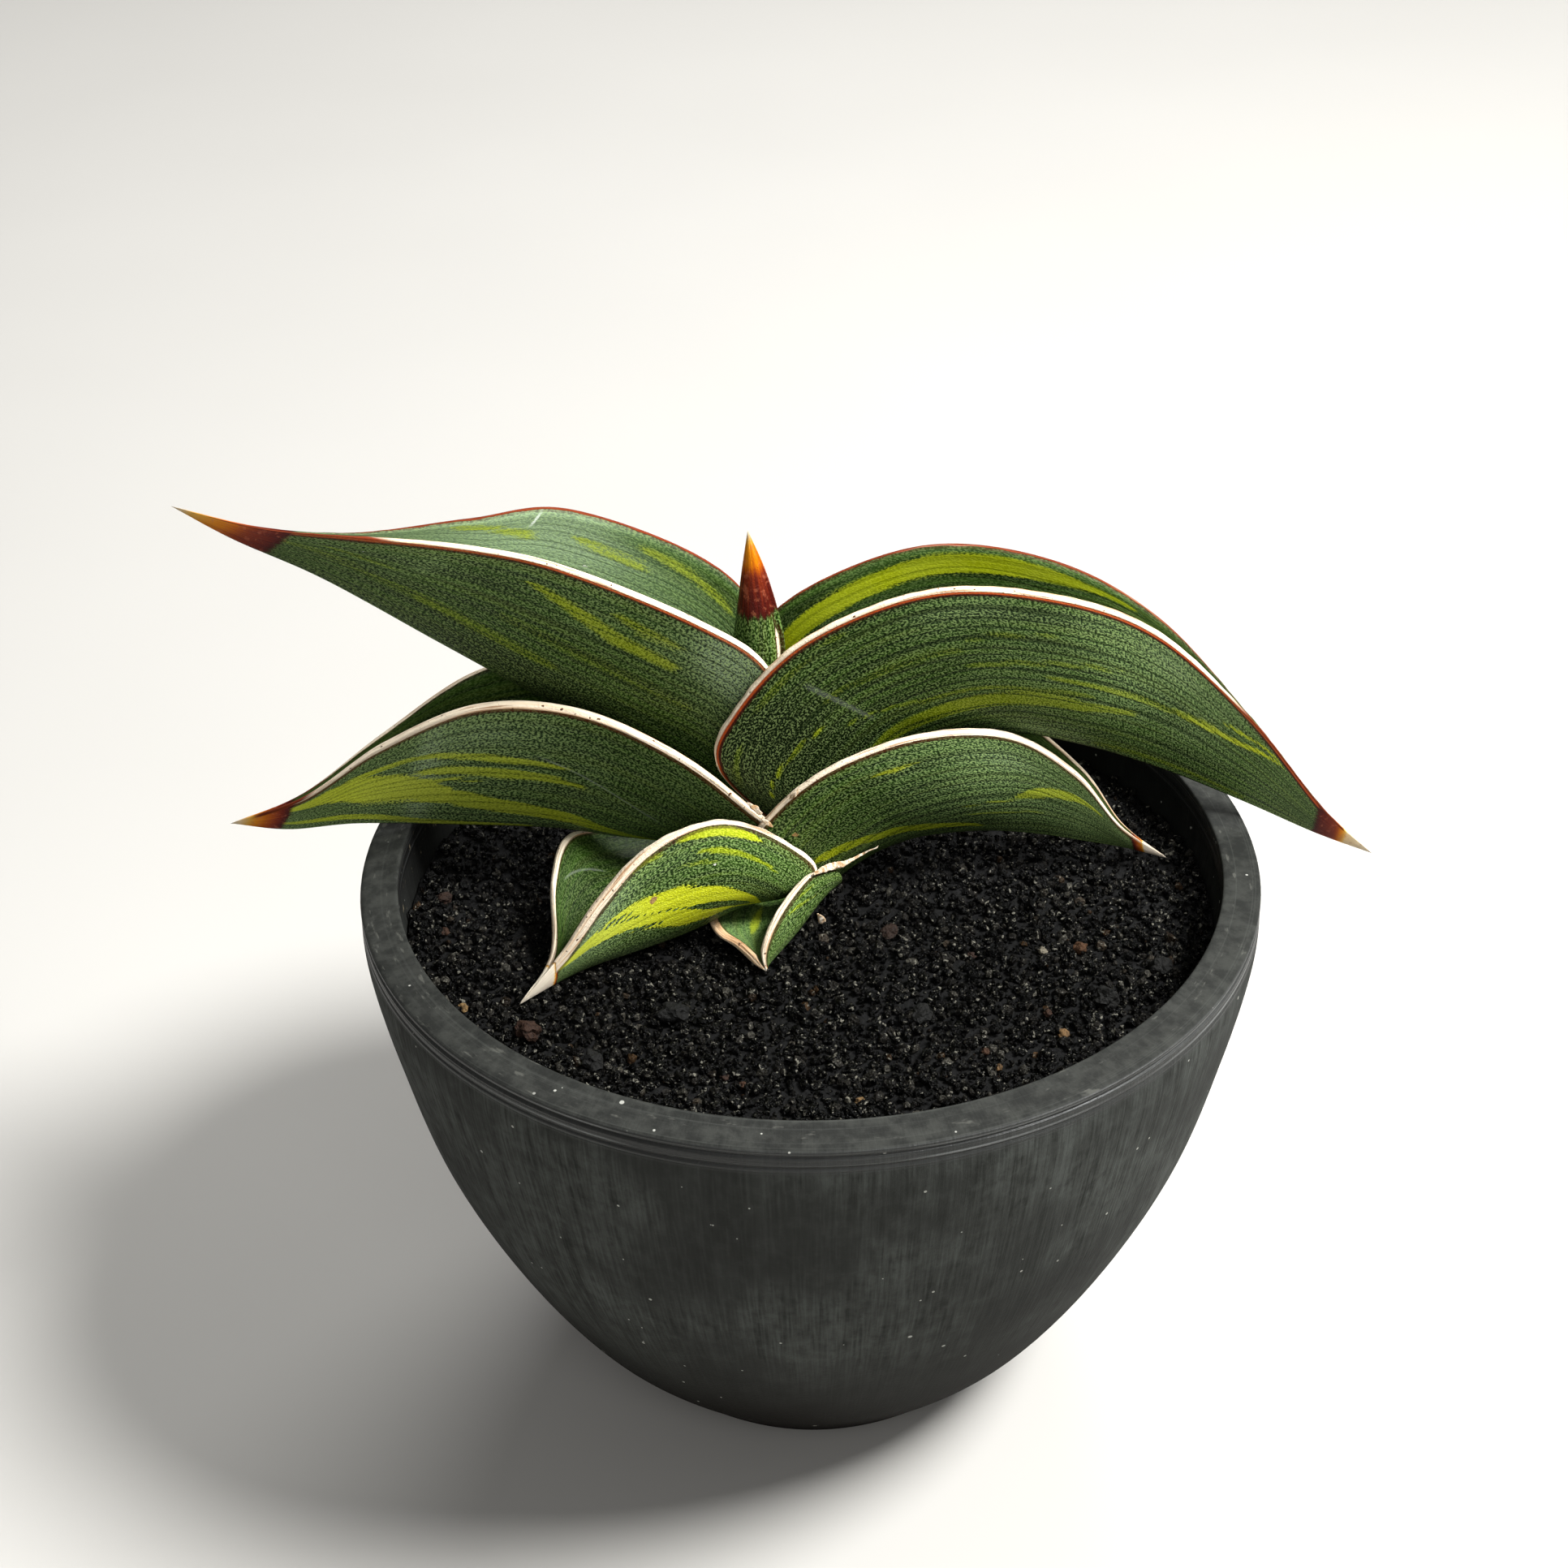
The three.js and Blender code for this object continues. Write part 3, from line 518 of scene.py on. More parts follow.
def paint_marks(leaf, layers, half_girth):
    """How far inside a small mark each place is, and the tone of that mark."""
    mark = np.full(layers["across"].shape, -1.0)
    tone = np.zeros(mark.shape)
    for here, (place, base, radius, mark_tone) in on_faces(leaf, "marks", layers):
        off = np.hypot((layers["across"] - place / 100) * half_girth, layers["length"] - base)
        level = np.where(here, 1.25 - off / radius, -1)
        tone = np.where(level > mark, mark_tone, tone)
        mark = np.maximum(mark, level)
    layers.update(mark=mark, mark_tone=tone)


def paint_scratch(leaf, layers, half_girth):
    """Distance from a scratch, in its own breadths, and its strength along its run."""
    layers.update(scratch=9, scratch_run=0)
    for here, (start, end, strength, breadth) in on_faces(leaf, "scratch", layers):
        run_out = (end[0] - start[0]) / 100 * half_girth
        run_on = end[1] - start[1]
        reach = math.hypot(run_out, run_on)
        sideways = (layers["across"] - start[0] / 100) * half_girth
        ahead = layers["length"] - start[1]
        off = (sideways * run_on - ahead * run_out) / reach / breadth
        share = (sideways * run_out + ahead * run_on) / reach ** 2
        layers["scratch"] = np.where(here, off, 9)
        layers["scratch_run"] = np.clip(4 * (1 - np.abs(2 * share - 1)), 0, 1) * strength


def paint_skin(name, layers, girth):
    """Adds the numbers for streaks, paper, bloom and painted shade, marks, rust and the tip."""
    leaf = LEAVES[name]
    half_girth = 0.5 * girth[:, OUTER_FACETS].max()
    paint_streaks(leaf, layers)
    paint_paper(leaf, layers, girth)
    paint_bloom_and_shade(leaf, layers)
    paint_marks(leaf, layers, half_girth)
    paint_scratch(leaf, layers, half_girth)
    near_rust, far_rust = (read_steps(steps, layers["tip"]) for steps in leaf["rust"])
    layers["rust"] = np.where(layers["across"] < 0, near_rust, far_rust)
    layers["stage"] = read_steps(leaf["tip"], layers["tip"])
    layers["lateral"] = layers["across"] * half_girth
    layers["ribbing"] = np.where(layers["inside"] > 0.5, 0.4, 1) * leaf["ribbing"]
    layers["length"] = layers["length"] + GRAIN_SHIFT * sorted(LEAVES).index(name)


def make_leaf(name, material):
    places, layers, girth = leaf_places(LEAVES[name])
    paint_skin(name, layers, girth)
    piece = finished(shaped_sheet(places, layers), name + "_blade", material)
    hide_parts(name)


def make_spike(material):
    """The young leaf, still rolled, with its free edge as a furrow down one side."""
    stations = np.linspace(0, len(SPIKE_RINGS) - 1, 76)
    centre = guide([ring[0] for ring in SPIKE_RINGS], stations)
    halves = np.maximum(guide([(*ring[1:], 0) for ring in SPIKE_RINGS], stations), 0)
    angle = np.linspace(0, math.tau, 97)
    furrow = 1 - FURROW_DEPTH * np.exp(-((np.cos(angle - FURROW_ANGLE) - 1) ** 2) / 0.0008)
    rim = np.stack([furrow * np.cos(angle), furrow * np.sin(angle), 0 * angle], axis=1)
    places = centre[:, None] + halves[:, None] * rim
    places[-1] = centre[-1]
    turn = (angle - FURROW_ANGLE + math.pi) % math.tau - math.pi
    tip = centre[-1, 2] - centre[:, [2]]
    layers = {
        "lateral": turn * 3, "inside": 0, "length": 40 - tip,
        "past_paper": np.abs(turn) * 2.2 - 0.3 + np.clip((15 - tip) / 4, 0, 1), "line": 0.5, "ribbing": 0.4,
        "yellow": 0.15, "bright": 0.3, "bloom_and_shade": 0.3, "rust": np.clip(1.6 - tip / 12, 0.1, 1),
        "stage": read_steps(SPIKE_TIP, tip), "scratch": 9, "scratch_run": 0, "mark": -1, "mark_tone": 0,
    }
    piece = finished(shaped_sheet(places, layers), "leaf_spike_roll", material)
    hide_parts("leaf_spike")


# The pot

def wall_profile():
    """The pot's outer wall from its foot up to the rim, as radii and heights."""
    curve = guide([(r, z, 0) for r, z in POT_BODY], np.linspace(0, len(POT_BODY) - 1, 400))
    return curve[:, 0], curve[:, 1]


def make_pot(material):
    radius, height = wall_profile()
    inner = [(r - POT_WALL, z) for r, z in zip(radius, height) if 5.2 < z < 79]
    for groove, depth, breadth in GROOVES:
        radius = radius - depth * np.exp(-((height - groove) / breadth) ** 2)
    outline = [(0, 0), (25.9, 0)]
    outline += [(r, z) for r, z in zip(radius[::5], height[::5]) if 0.4 < z < 75]
    outline += [(np.interp(z, height, radius), z) for z in np.linspace(75, 78.7, 60)]
    outline += POT_RIM
    within = inner[::-14] + [(25.4, POT_FLOOR), (0, POT_FLOOR)]
    pot = finished(turned(outline + within, 216, len(outline)), "pot_bowl", material)
    drill_drain_holes(pot)
    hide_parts("pot")


def drill_drain_holes(pot):
    """Cuts three round holes through the pot's floor."""
    bm = bmesh.new()
    for i in range(3):
        turn = (i + 0.25) * math.tau / 3
        place = Vector((DRAIN_RING * math.cos(turn), DRAIN_RING * math.sin(turn), 0.5 * POT_FLOOR)) * MM
        bmesh.ops.create_cone(bm, cap_ends=True, segments=40, radius1=DRAIN_RADIUS * MM,
                              radius2=DRAIN_RADIUS * MM, depth=9 * MM, matrix=Matrix.Translation(place))
    drills = placed("drills", as_mesh(bm, "drills"))
    cut = pot.modifiers.new("drain holes", "BOOLEAN")
    cut.operation = "DIFFERENCE"
    cut.solver = "EXACT"
    cut.object = drills
    graph = bpy.context.evaluated_depsgraph_get()
    drilled = bpy.data.meshes.new_from_object(pot.evaluated_get(graph))
    pot.modifiers.clear()
    pot.data = drilled
    bpy.data.objects.remove(drills)


# The grit

def bed_height(x, y):
    """Height of the grit's surface, which lies in low mounds and crumbly clumps."""
    mounds = 0.5 * noise.noise((x * 0.09, y * 0.09, 3)) + 0.25 * noise.noise((x * 0.3, y * 0.3, 7))
    return GRIT_LEVEL + mounds + 0.45 * noise.noise((x * 0.55, y * 0.55, 11))


def make_bed(material):
    """The body of the grit under its loose grains, which fills the pot."""
    edge = POT_WALL + GRIT_GAP
    wall = [(r - edge, z) for r, z in zip(*wall_profile()) if 6 < z < 70]
    surface = [(r, 70.6) for r in np.linspace(GRIT_REACH + 0.25, 0, 48)]
    bm = turned([(0, POT_FLOOR + GRIT_GAP), (26, 5.4)] + wall[::19] + surface, 160)
    for v in bm.verts:
        if v.co.z > 70.4 * MM:
            v.co.z = (bed_height(v.co.x / MM, v.co.y / MM) - 0.35) * MM
    bed = finished(bm, "grit_bed", material)
    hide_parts("grit")


def scatter(spacing, chance, rng):
    """Places on a jittered triangular grid inside the pot, clear of the stem."""
    rows = int(2 * GRIT_REACH / (spacing * 0.866)) + 1
    for row in range(rows):
        for column in range(int(2 * GRIT_REACH / spacing) + 1):
            x = -GRIT_REACH + (column + 0.5 * (row % 2)) * spacing + rng.normal(0, 0.28) * spacing
            y = -GRIT_REACH + row * spacing * 0.866 + rng.normal(0, 0.28) * spacing
            in_pot = math.hypot(x, y) < GRIT_REACH and math.hypot(x, y - CROWN_Y) > CROWN_REACH
            if in_pot and rng.random() < chance:
                yield x, y


def make_grains(name, material, spacing, sizes, chance, lift, seed):
    """A layer of loose grains: dented balls of a few facets, each turned its own way."""
    rng = np.random.default_rng(seed)
    bm = bmesh.new()
    bmesh.ops.create_icosphere(bm, subdivisions=1, radius=1)
    template = as_mesh(bm, "grain")
    template.attributes.new("grain", "FLOAT", "POINT")
    ball = np.array([v.co for v in template.vertices])
    bm = bmesh.new()
    for x, y in scatter(spacing, chance, rng):
        size = rng.uniform(*sizes) * rng.uniform(0.75, 1.15)
        turn, _ = np.linalg.qr(rng.normal(size=(3, 3)))
        rough = ball * rng.uniform(0.68, 1.25, (12, 1)) * rng.uniform(0.7, 1.2, 3) * size
        centre = (x, y, bed_height(x, y) + lift * size + rng.uniform(-0.3, 0.2))
        template.vertices.foreach_set("co", ((rough @ turn + centre) * MM).ravel())
        template.attributes["grain"].data.foreach_set("value", np.full(12, rng.random()))
        bm.from_mesh(template)
    bmesh.ops.recalc_face_normals(bm, faces=bm.faces)
    grains = finished(bm, name, material, smooth=False)
    bpy.data.meshes.remove(template)


def make_lumps(material):
    rng = np.random.default_rng(13)
    bm = bmesh.new()
    tones = bm.verts.layers.float.new("tone")
    for x, y, size, tone in LUMPS:
        centre = Vector((x, y, bed_height(x, y) + 0.45 * size))
        made = bmesh.ops.create_icosphere(bm, subdivisions=3, radius=1)["verts"]
        squeeze = Vector(rng.uniform(0.75, 1.1, 3) * (1, 1, 0.8))
        for v in made:
            dent = 1 + 0.5 * noise.noise(v.co * 1.4 + centre) + 0.16 * noise.noise(v.co * 5 + centre)
            v.co = (centre + v.co * squeeze * (size * dent)) * MM
            v[tones] = tone
    bmesh.ops.recalc_face_normals(bm, faces=bm.faces)
    finished(bm, "grit_lumps", material, smooth=False)


# The dry bits

def make_flakes(material):
    noise.seed_set(CRUMPLE_SEED)
    bm = bmesh.new()
    for points, breadths, sideways in FLAKES:
        columns, rows = 5, 24
        stations = np.linspace(0, len(points) - 1, rows + 1)
        middle = guide(points, stations)
        half = np.maximum(guide([(b, 0, 0) for b in breadths], stations)[:, 0], 0.05)
        made = bmesh.ops.create_grid(bm, x_segments=columns, y_segments=rows, size=0.5)["verts"]
        for v in made:
            row, share = round((v.co.y + 0.5) * rows), 2 * v.co.x
            place = Vector(middle[row]) + Vector(sideways).normalized() * (share * half[row])
            crumple = noise.noise_vector(place * 1.2) * 0.16 + noise.noise_vector(place * 4) * 0.05
            v.co = (place + crumple) * MM
        faces = list({face for v in made for face in v.link_faces})
        bmesh.ops.recalc_face_normals(bm, faces=faces)
        bmesh.ops.solidify(bm, geom=faces, thickness=0.1 * MM)
    bmesh.ops.recalc_face_normals(bm, faces=bm.faces)
    finished(bm, "dry_flakes", material)


# Materials

def shade(*color):
    """A colour as it looks on a screen, 0 to 255, turned into the light that materials work in."""
    parts = [c / 255 / 12.92 if c < 11 else ((c / 255 + 0.055) / 1.055) ** 2.4 for c in color]
    return (*parts, 1)


def sum_of(operation, swapped=False):
    """A method of Amount: a sum of the amount and another one or a number."""
    def worked_out(self, *others):
        return self.finish.calc(operation, *((*others, self) if swapped else (self, *others)))
    return worked_out


class Amount:
    """A node's result, to be added, multiplied and so on as a number is. Each sum adds one node."""

    __add__ = sum_of("ADD")
    __sub__ = sum_of("SUBTRACT")
    __rsub__ = sum_of("SUBTRACT", swapped=True)
    __mul__ = sum_of("MULTIPLY")
    __truediv__ = sum_of("DIVIDE")
    __abs__ = sum_of("ABSOLUTE")

    def __init__(self, finish, socket):
        self.finish = finish
        self.socket = socket


class Finish:
    """A material in the making. Each method adds one node or a few and hands back the result."""

    def __init__(self, name):
        self.material = bpy.data.materials.new(name)
        self.material.use_nodes = True
        self.nodes = self.material.node_tree.nodes
        self.shader = self.nodes["Principled BSDF"]
        self.place = self.add("TexCoord", "Object")

    def feed(self, socket, value):
        """Gives a socket a node's result, a number, or a colour as it looks on a screen."""
        if isinstance(value, Amount):
            self.material.node_tree.links.new(value.socket, socket)
        elif socket.type == "RGBA":
            socket.default_value = shade(*value)
        else:
            socket.default_value = value

    def add(self, kind, result, inputs=(), **settings):
        """The named result of a new node. The inputs are pairs of a socket and what it is given."""
        node = self.nodes.new("ShaderNode" + kind)
        for setting, value in settings.items():
            setattr(node, setting, value)
        for socket, value in inputs:
            self.feed(node.inputs[socket], value)
        return Amount(self, node.outputs[result])

    def layer(self, name):
        return self.add("Attribute", "Fac", attribute_name=name)

    def calc(self, operation, *values):
        return self.add("Math", 0, enumerate(values), operation=operation)

    def step(self, value, start, end):
        """0 up to start, 1 past end, soft between them; the other way round when start is greater."""
        return self.add("MapRange", 0, enumerate((value, start, end)), interpolation_type="SMOOTHSTEP")

    def blend(self, share, first, second):
        return self.add("Mix", 2, ((0, share), (6, first), (7, second)), data_type="RGBA")

    def coats(self, color, *coats):
        """The colour with others laid over it in turn, each to its own share."""
        for share, coat in coats:
            color = self.blend(share, color, coat)
        return color

    def vector(self, x, y, z):
        return self.add("CombineXYZ", 0, enumerate((x, y, z)))

    def stretched(self, scale):
        """The place on the object, in metres, scaled along each axis."""
        return self.add("Mapping", 0, (("Vector", self.place), ("Scale", scale)))

    def grain(self, where, scale, detail, rough):
        return self.add("TexNoise", "Fac", (
            ("Vector", where), ("Scale", scale), ("Detail", detail), ("Roughness", rough)))

    def specks(self, scale, size, share):
        """Round specks of the given size in cell widths, on a share of the cells."""
        distance = self.add("TexVoronoi", "Distance", (("Vector", self.place), ("Scale", scale)))
        color = Amount(self, distance.socket.node.outputs["Color"])
        drawn, grown = (self.add("SeparateColor", part, ((0, color),)) for part in (0, 1))
        return self.step(drawn + share, 1, 1.01) * self.step(distance - grown * size, 0.02, 0)

    def ramp(self, value, *stops):
        node = self.nodes.new("ShaderNodeValToRGB")
        self.feed(node.inputs[0], value)
        elements = node.color_ramp.elements
        elements[0].position, elements[1].position = stops[0][0], stops[-1][0]
        for position, _ in stops[1:-1]:
            elements.new(position)
        for element, (_, color) in zip(elements, stops):
            element.color = shade(*color)
        return Amount(self, node.outputs[0])

    def done(self, color, roughness, relief=None, depth=0, specular=0.5):
        """The finished material, with its relief as a height that is at most depth, in metres."""
        given = [("Base Color", color), ("Roughness", roughness), ("Specular IOR Level", specular)]
        if relief is not None:
            bump = (("Strength", 1), ("Distance", depth), ("Height", relief))
            given.append(("Normal", self.add("Bump", 0, bump)))
        for socket, value in given:
            self.feed(self.shader.inputs[socket], value)
        return self.material


def leaf_skin():
    """Green flesh with dark ribs and pale grains, yellow streaks and bloom, painted shade as a deeper
    green, a papery edge, and a tip that goes from maroon through orange to dry cream, its dry end painted
    lighter as painted light."""
    f = Finish("leaf skin")
    lateral, length, inside = f.layer("lateral"), f.layer("length"), f.layer("inside")
    bloom_and_shade, bright, stage = f.layer("bloom_and_shade"), f.layer("bright"), f.layer("stage")
    lengthwise = f.vector(lateral, length * 0.03, inside)
    strands = f.grain(lengthwise, 1, 3, 0.6)
    veins = f.grain(lengthwise, 2.4, 2, 0.5)
    rib_run = lateral * 0.62 + f.grain(lengthwise, 0.45, 2, 0.5) * 1.8
    ribs = f.step(f.calc("PINGPONG", rib_run, 0.5), 0.22, 0.03)
    ribs = ribs * f.layer("ribbing") * f.step(f.layer("past_paper"), 0.6, 2.6)
    grains = f.grain(f.vector(lateral, length * 0.65, inside), 3.8, 1, 0.5)
    uneven = grains - 0.5
    outside = 1 - inside * 0.6
    dots = f.step(grains, 0.49, 0.58) * outside
    pits = f.step(grains, 0.5, 0.4) * outside
    bands = f.step(f.grain(lengthwise, 0.7, 2, 0.6), 0.5, 0.66)
    hazy = f.step(bloom_and_shade + (f.grain(f.place, 130, 2, 0.5) - 0.5) * 0.9, 0.1, 1.1)
    flesh = f.coats(
        f.blend(f.step(strands, 0.36, 0.62), (24, 45, 8), (64, 96, 30)),
        (bands * 0.4, (108, 128, 44)),
        # painted shade: a deeper green where the bloom layer is below zero
        (f.step(bloom_and_shade, 0, -1), (8, 22, 2)),
        (hazy * 0.5, (106, 132, 88)),
        (f.step(bloom_and_shade, 0.85, 1.6) * 0.7, (160, 182, 146)),
        (dots * (hazy * 0.26 + 0.42), (156, 180, 112)),
        (pits * 0.8, (9, 22, 3)),
        (ribs * (strands * 0.75 + 0.25), (10, 26, 4)))

    # The yellow streaks
    soft = f.step(bright, 0.9, 0.4)
    streaky = f.layer("yellow") + (strands - 0.5) + uneven * 0.6
    yellow = f.step(streaky, 0.42 - soft * 0.12, soft * 0.2 + 0.62)
    gold = f.coats(
        f.ramp(bright, (0, (60, 84, 6)), (0.3, (98, 122, 8)), (0.6, (162, 176, 6)), (1, (212, 217, 36))),
        (hazy * 0.36, (176, 190, 100)),
        ((ribs + pits * 0.6) * f.step(bright, 1.5, 0), (40, 64, 6)),
        (dots * 0.28, (206, 216, 80)))

    # The line under the paper
    past = f.layer("past_paper") + (f.grain(lengthwise, 0.9, 3, 0.6) - 0.5) * 0.35 + uneven * 0.12
    level = f.layer("line")
    line = f.step(past - level * 0.42, 0.42, 0.2) * (level * 0.6 + strands - 0.15)
    warm = f.step(level, 0.5, 0.9) * f.step(past, 0.46, 0.2)
    flesh = f.coats(
        flesh,
        (yellow * f.step(bright, -0.5, 0.7), gold),
        (line, f.blend(warm, (52, 18, 8), (172, 70, 26))))

    # The paper, rusty in places
    paper = f.coats(
        f.blend(f.step(f.grain(lengthwise, 0.6, 4, 0.65), 0.47, 0.66), (244, 228, 202), (220, 180, 136)),
        (f.step(f.grain(lengthwise, 3.2, 2, 0.5), 0.56, 0.66) * 0.75, (160, 112, 70)),
        (f.step(f.grain(f.place, 1500, 1, 0.5), 0.7, 0.76), (84, 56, 36)),
        (f.step(past, -0.3, 0) * 0.35, (190, 138, 92)))
    rusty = f.step(f.layer("rust") + f.grain(lengthwise, 0.8, 3, 0.6) - 0.5, 0.45, 0.8)
    papery = f.step(past, 0.07, -0.07) * f.step(stage, 2.5, 2)

    # The tip
    ends = stage + (f.grain(lengthwise, 1.5, 4, 0.7) - 0.5) * 1.3
    tip = f.coats(
        f.ramp(ends / 3, (0.2, (50, 12, 8)), (0.34, (82, 20, 12)), (0.44, (126, 44, 18)),
               (0.55, (176, 84, 4)), (0.7, (220, 132, 3)), (0.84, (234, 180, 76)), (0.95, (246, 226, 190))),
        (f.step(f.grain(f.place, 1100, 2, 0.6), 0.54, 0.7) * 0.4, (188, 104, 74)),
        # painted light: the dry end of the tip is its paper lightened towards near white
        (f.step(ends, 2.95, 3.15), f.blend(0.6, paper, (255, 246, 226))))

    scratch = f.step(abs(f.layer("scratch")) + uneven * 1.4, 1, 0.4) * f.layer("scratch_run")
    tones = f.ramp(f.layer("mark_tone"), (0, (14, 13, 11)), (0.5, (158, 126, 80)), (1, (234, 238, 228)))
    color = f.coats(
        flesh,
        (f.step(ends, 0.4, 0.75), tip),
        (papery, f.blend(rusty, paper, f.blend(strands, (52, 14, 8), (146, 60, 22)))),
        (scratch, (222, 230, 216)),
        (f.step(f.layer("mark") + uneven * 0.7, 0.05, 0.3), tones))
    relief = strands * 0.5 + dots * 0.2 + veins * papery * 1.8 - ribs * 0.35
    roughness = (papery + hazy * 0.25) * 0.32 + 0.44
    return f.done(color, roughness, relief, 0.00018, 0.12)


def pot_clay():
    """Matt charcoal with short wiped strokes, turned marks round the shoulder, dust and light scuffs."""
    f = Finish("charcoal pot")
    x, y, z = (f.add("SeparateXYZ", axis, ((0, f.place),)) for axis in "XYZ")
    radius = f.calc("SQRT", x * x + y * y)
    turn_x, turn_y = x / radius, y / radius

    def around(across, along):
        """Grain that runs up the wall, with its scale round the pot and along the height."""
        return f.vector(turn_x * across, turn_y * across, z * along)

    smudges = f.grain(around(24, 75), 1, 3, 0.6)
    lines = f.grain(around(150, 130), 1, 2, 0.5)
    clouds = f.grain(f.place, 38, 3, 0.55)
    mottle = f.grain(f.place, 420, 4, 0.65)
    fine = f.grain(f.place, 2600, 2, 0.6)
    turned = f.grain(f.vector(radius * 2300, z * 2300, x * 14), 1, 3, 0.6)
    scuffs = f.grain(f.vector(turn_x * 15, turn_y * 15, radius * 900), 1, 3, 0.6)
    shoulder = f.step(z, 0.0752, 0.0762) * f.step(z, 0.0791, 0.0788)
    top = f.step(z, 0.0788, 0.0791)
    # Painted highlight: light sheen lines at two bead edges under the rim, shown on part of the way round.
    sheen_mask = f.step(f.grain(around(1.3, 0), 1, 2, 0.5), 0.42, 0.58)
    edges = f.step(abs(z - 0.07845), 0.0002, 0.00008) + f.step(abs(z - 0.0769), 0.00022, 0.00008)
    within = f.layer("within")
    scale = f.step(f.grain(around(29, 420), 1, 4, 0.7), 0.62, 0.7)
    scale = scale * within * f.step(x, -0.046, -0.052) * f.step(z, 0.0705, 0.074)
    dust = f.specks(240, 0.085, top * 0.7 + 0.2) + f.specks(620, 0.13, 0.1)

    color = f.blend(f.step(clouds, 0.3, 0.7), (43, 44, 42), (59, 61, 58))
    worked = f.step(z, 0.014, 0.045) * (f.step(clouds, 0.38, 0.6) + 0.35)
    for marks, amount in ((smudges, 0.28), (lines, 0.28), (mottle, 0.26)):
        color = f.coats(
            color,
            (f.step(marks, 0.48, 0.7) * worked * amount, (78, 81, 78)),
            (f.step(marks, 0.5, 0.3) * worked * amount, (16, 16, 14)))
    color = f.coats(
        color,
        # painted shade: the wall made darker towards the bottom
        (f.step(z, 0.046, 0.004) * 0.92, (15, 11, 8)),
        # painted shade: the upright band under the rim made darker
        (shoulder * 0.7, (26, 27, 26)),
        (shoulder * f.step(turned, 0.5, 0.68) * 0.6, (70, 72, 70)),
        # painted highlight: the sheen lines under the rim
        (edges * sheen_mask * 0.55, (126, 129, 128)),
        (top, f.blend(f.step(mottle, 0.36, 0.66), (36, 37, 35), (51, 52, 49))),
        (top * f.step(turned, 0.52, 0.7) * 0.25, (82, 84, 80)),
        # painted shade: the inside of the pot made darker
        (within * 0.75, (15, 15, 14)),
        (scale * 0.7, (150, 138, 114)),
        (dust * 0.75, (176, 176, 168)),
        (top * f.step(scuffs, 0.62, 0.72) * 0.3, (108, 108, 101)))
    relief = lines * 0.4 + fine * 0.3 + turned * shoulder * 1.4
    roughness = 0.78 - shoulder * 0.36 - top * 0.12
    return f.done(color, roughness, relief, 0.00016, shoulder * 0.3 + 0.05)


def black_grit(name, dimming):
    """Loose black grains, most of them dark, a few grey, brown or tan, with painted glints and painted
    shade.
    """
    f = Finish(name)
    fine = f.grain(f.place, 3200, 2, 0.6)
    tone = f.ramp(f.layer("grain"), (0, (3, 3, 2)), (0.5, (9, 9, 8)), (0.8, (21, 20, 18)),
                  (0.93, (40, 38, 34)), (0.975, (74, 72, 65)), (0.98, (50, 38, 26)), (0.986, (76, 56, 36)),
                  (0.989, (24, 23, 20)))
    color = f.coats(
        f.blend(f.step(fine, 0.4, 0.7), f.blend(0.7, tone, (2, 2, 2)), tone),
        # painted highlight: small bright glints on the grains
        (f.step(f.grain(f.place, 1700, 2, 0.6), 0.6, 0.68), (104, 102, 92)),
        # painted shade: the grains dimmed towards black by the given share
        (dimming, (1, 1, 1)))
    return f.done(color, 0.28, fine, 0.0004, 0.07)


def grit_lump():
    """Bigger lumps, each with its own tone from black over brown and tan to grey, pitted and dusty."""
    f = Finish("grit lump")
    pits = f.grain(f.place, 1500, 3, 0.65)
    tone = f.ramp(f.layer("tone"), (0, (11, 11, 10)), (0.15, (17, 17, 15)), (0.4, (44, 28, 19)),
                  (0.6, (74, 50, 31)), (0.8, (116, 92, 58)), (1, (104, 104, 94)))
    return f.done(f.blend(f.step(pits, 0.54, 0.36) * 0.55, tone, (8, 7, 6)), 0.75, pits, 0.0005, 0.2)


def dry_paper():
    """Dry sheath: cream fibres with tan and grey between them."""
    f = Finish("dry paper")
    fibres = f.grain(f.stretched((1300, 2400, 900)), 1, 4, 0.65)
    color = f.blend(f.step(fibres, 0.4, 0.66), (176, 142, 102), (244, 232, 210))
    color = f.blend(f.step(f.grain(f.place, 1400, 2, 0.5), 0.6, 0.72) * 0.7, color, (96, 74, 50))
    return f.done(color, 0.8, fibres, 0.0003, 0.3)


def bare_grit():
    f = Finish("grit bed")
    lumps = f.grain(f.place, 900, 3, 0.6)
    color = f.blend(f.step(lumps, 0.4, 0.7), (3, 3, 3), (12, 12, 11))
    return f.done(color, 0.85, lumps, 0.0006, 0.2)


def dry_stem():
    f = Finish("dry stem")
    fibres = f.grain(f.stretched((900, 900, 90)), 1, 3, 0.6)
    color = f.blend(f.step(fibres, 0.35, 0.7), (116, 84, 50), (206, 184, 142))
    return f.done(color, 0.8, fibres, 0.0003, 0.3)


skin = leaf_skin()
for leaf in LEAVES:
    make_leaf(leaf, skin)
make_spike(skin)
make_pot(pot_clay())
make_bed(bare_grit())
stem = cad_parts["stem"].data
stem.materials.clear()
stem.materials.append(dry_stem())
make_lumps(grit_lump())
make_flakes(dry_paper())
make_grains("grit_coarse", black_grit("coarse black grit", 0), 1.2, (0.42, 0.92), 0.84, 0.12, 11)
# The fine grains lie in the gaps between the coarse ones and are dimmed there as painted shade.
make_grains("grit_fine", black_grit("fine black grit", 0.55), 1.1, (0.22, 0.42), 0.7, 0.5, 12)


# Stage: a plain pale floor, soft light and the camera

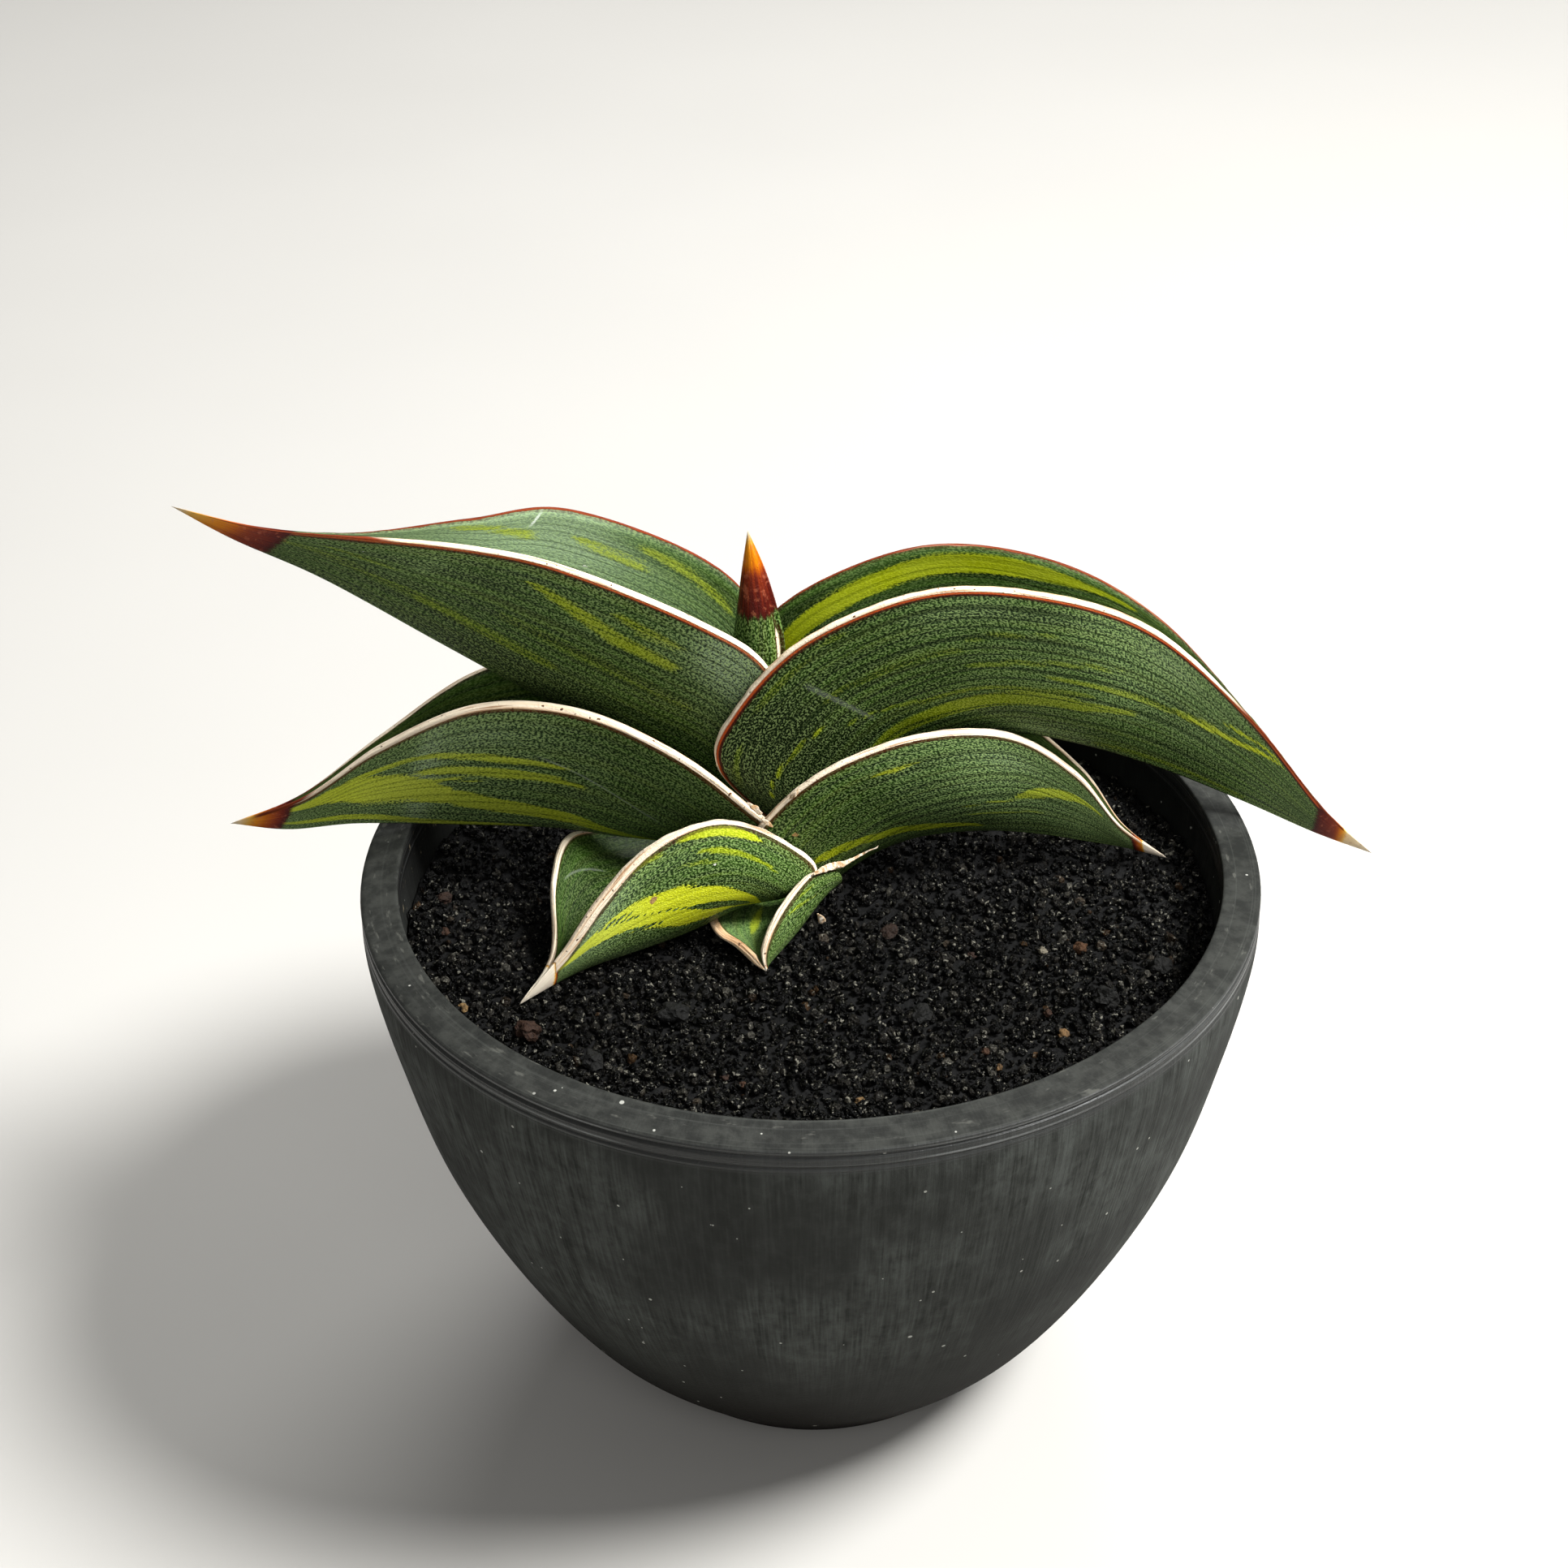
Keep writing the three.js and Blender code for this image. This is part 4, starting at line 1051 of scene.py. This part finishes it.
CAMERA_PLACE = Vector((-0.0033, -0.3367, 0.3115))
CAMERA_PITCH = math.radians(33.14)
CAMERA_ROLL = math.radians(-0.84)
LIGHT_TARGET = Vector((0, 0, 0.09))


def make_floor():
    bm = bmesh.new()
    bmesh.ops.create_grid(bm, x_segments=1, y_segments=1, size=4)
    f = Finish("pale floor")
    cloud = f.grain(f.place, 9, 2, 0.5)
    floor = placed("floor", as_mesh(bm, "floor"))
    floor.data.materials.append(f.done(f.blend(cloud, (184, 182, 177), (190, 188, 183)), 0.7))
    floor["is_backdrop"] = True


def add_area_light(name, place, size, power):
    light = bpy.data.lights.new(name, "AREA")
    light.shape = "DISK"
    light.size = size
    light.energy = power
    lamp = placed(name, light)
    lamp.location = place
    lamp.rotation_euler = (LIGHT_TARGET - Vector(place)).to_track_quat("-Z", "Y").to_euler()


def add_camera():
    ahead = Vector((0, math.cos(CAMERA_PITCH), -math.sin(CAMERA_PITCH)))
    level_up = Vector((0, math.sin(CAMERA_PITCH), math.cos(CAMERA_PITCH)))
    right = Vector((1, 0, 0)) * math.cos(CAMERA_ROLL) + level_up * math.sin(CAMERA_ROLL)
    data = bpy.data.cameras.new("photo camera")
    data.lens = 70
    data.sensor_width = 36
    data.sensor_fit = "HORIZONTAL"
    camera = placed("photo camera", data)
    turn = Matrix((right, right.cross(ahead), -ahead)).transposed()
    camera.matrix_world = Matrix.Translation(CAMERA_PLACE) @ turn.to_4x4()
    bpy.context.scene.camera = camera


make_floor()
add_camera()
add_area_light("key", (0.5, -0.1, 0.75), 0.3, 17)
add_area_light("fill", (0.05, -0.95, 0.7), 0.8, 2.8)
add_area_light("back", (0.1, 0.7, 0.8), 0.6, 6)
world = bpy.data.worlds.new("soft studio")
world.use_nodes = True
world.node_tree.nodes["Background"].inputs["Color"].default_value = (1, 1, 1, 1)
world.node_tree.nodes["Background"].inputs["Strength"].default_value = 0.2
bpy.context.scene.world = world
bpy.context.scene.view_settings.view_transform = "Standard"

boxes = {"cad": cad_box, "visual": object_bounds()}
{name: [list(corner) for corner in box] for name, box in boxes.items()}
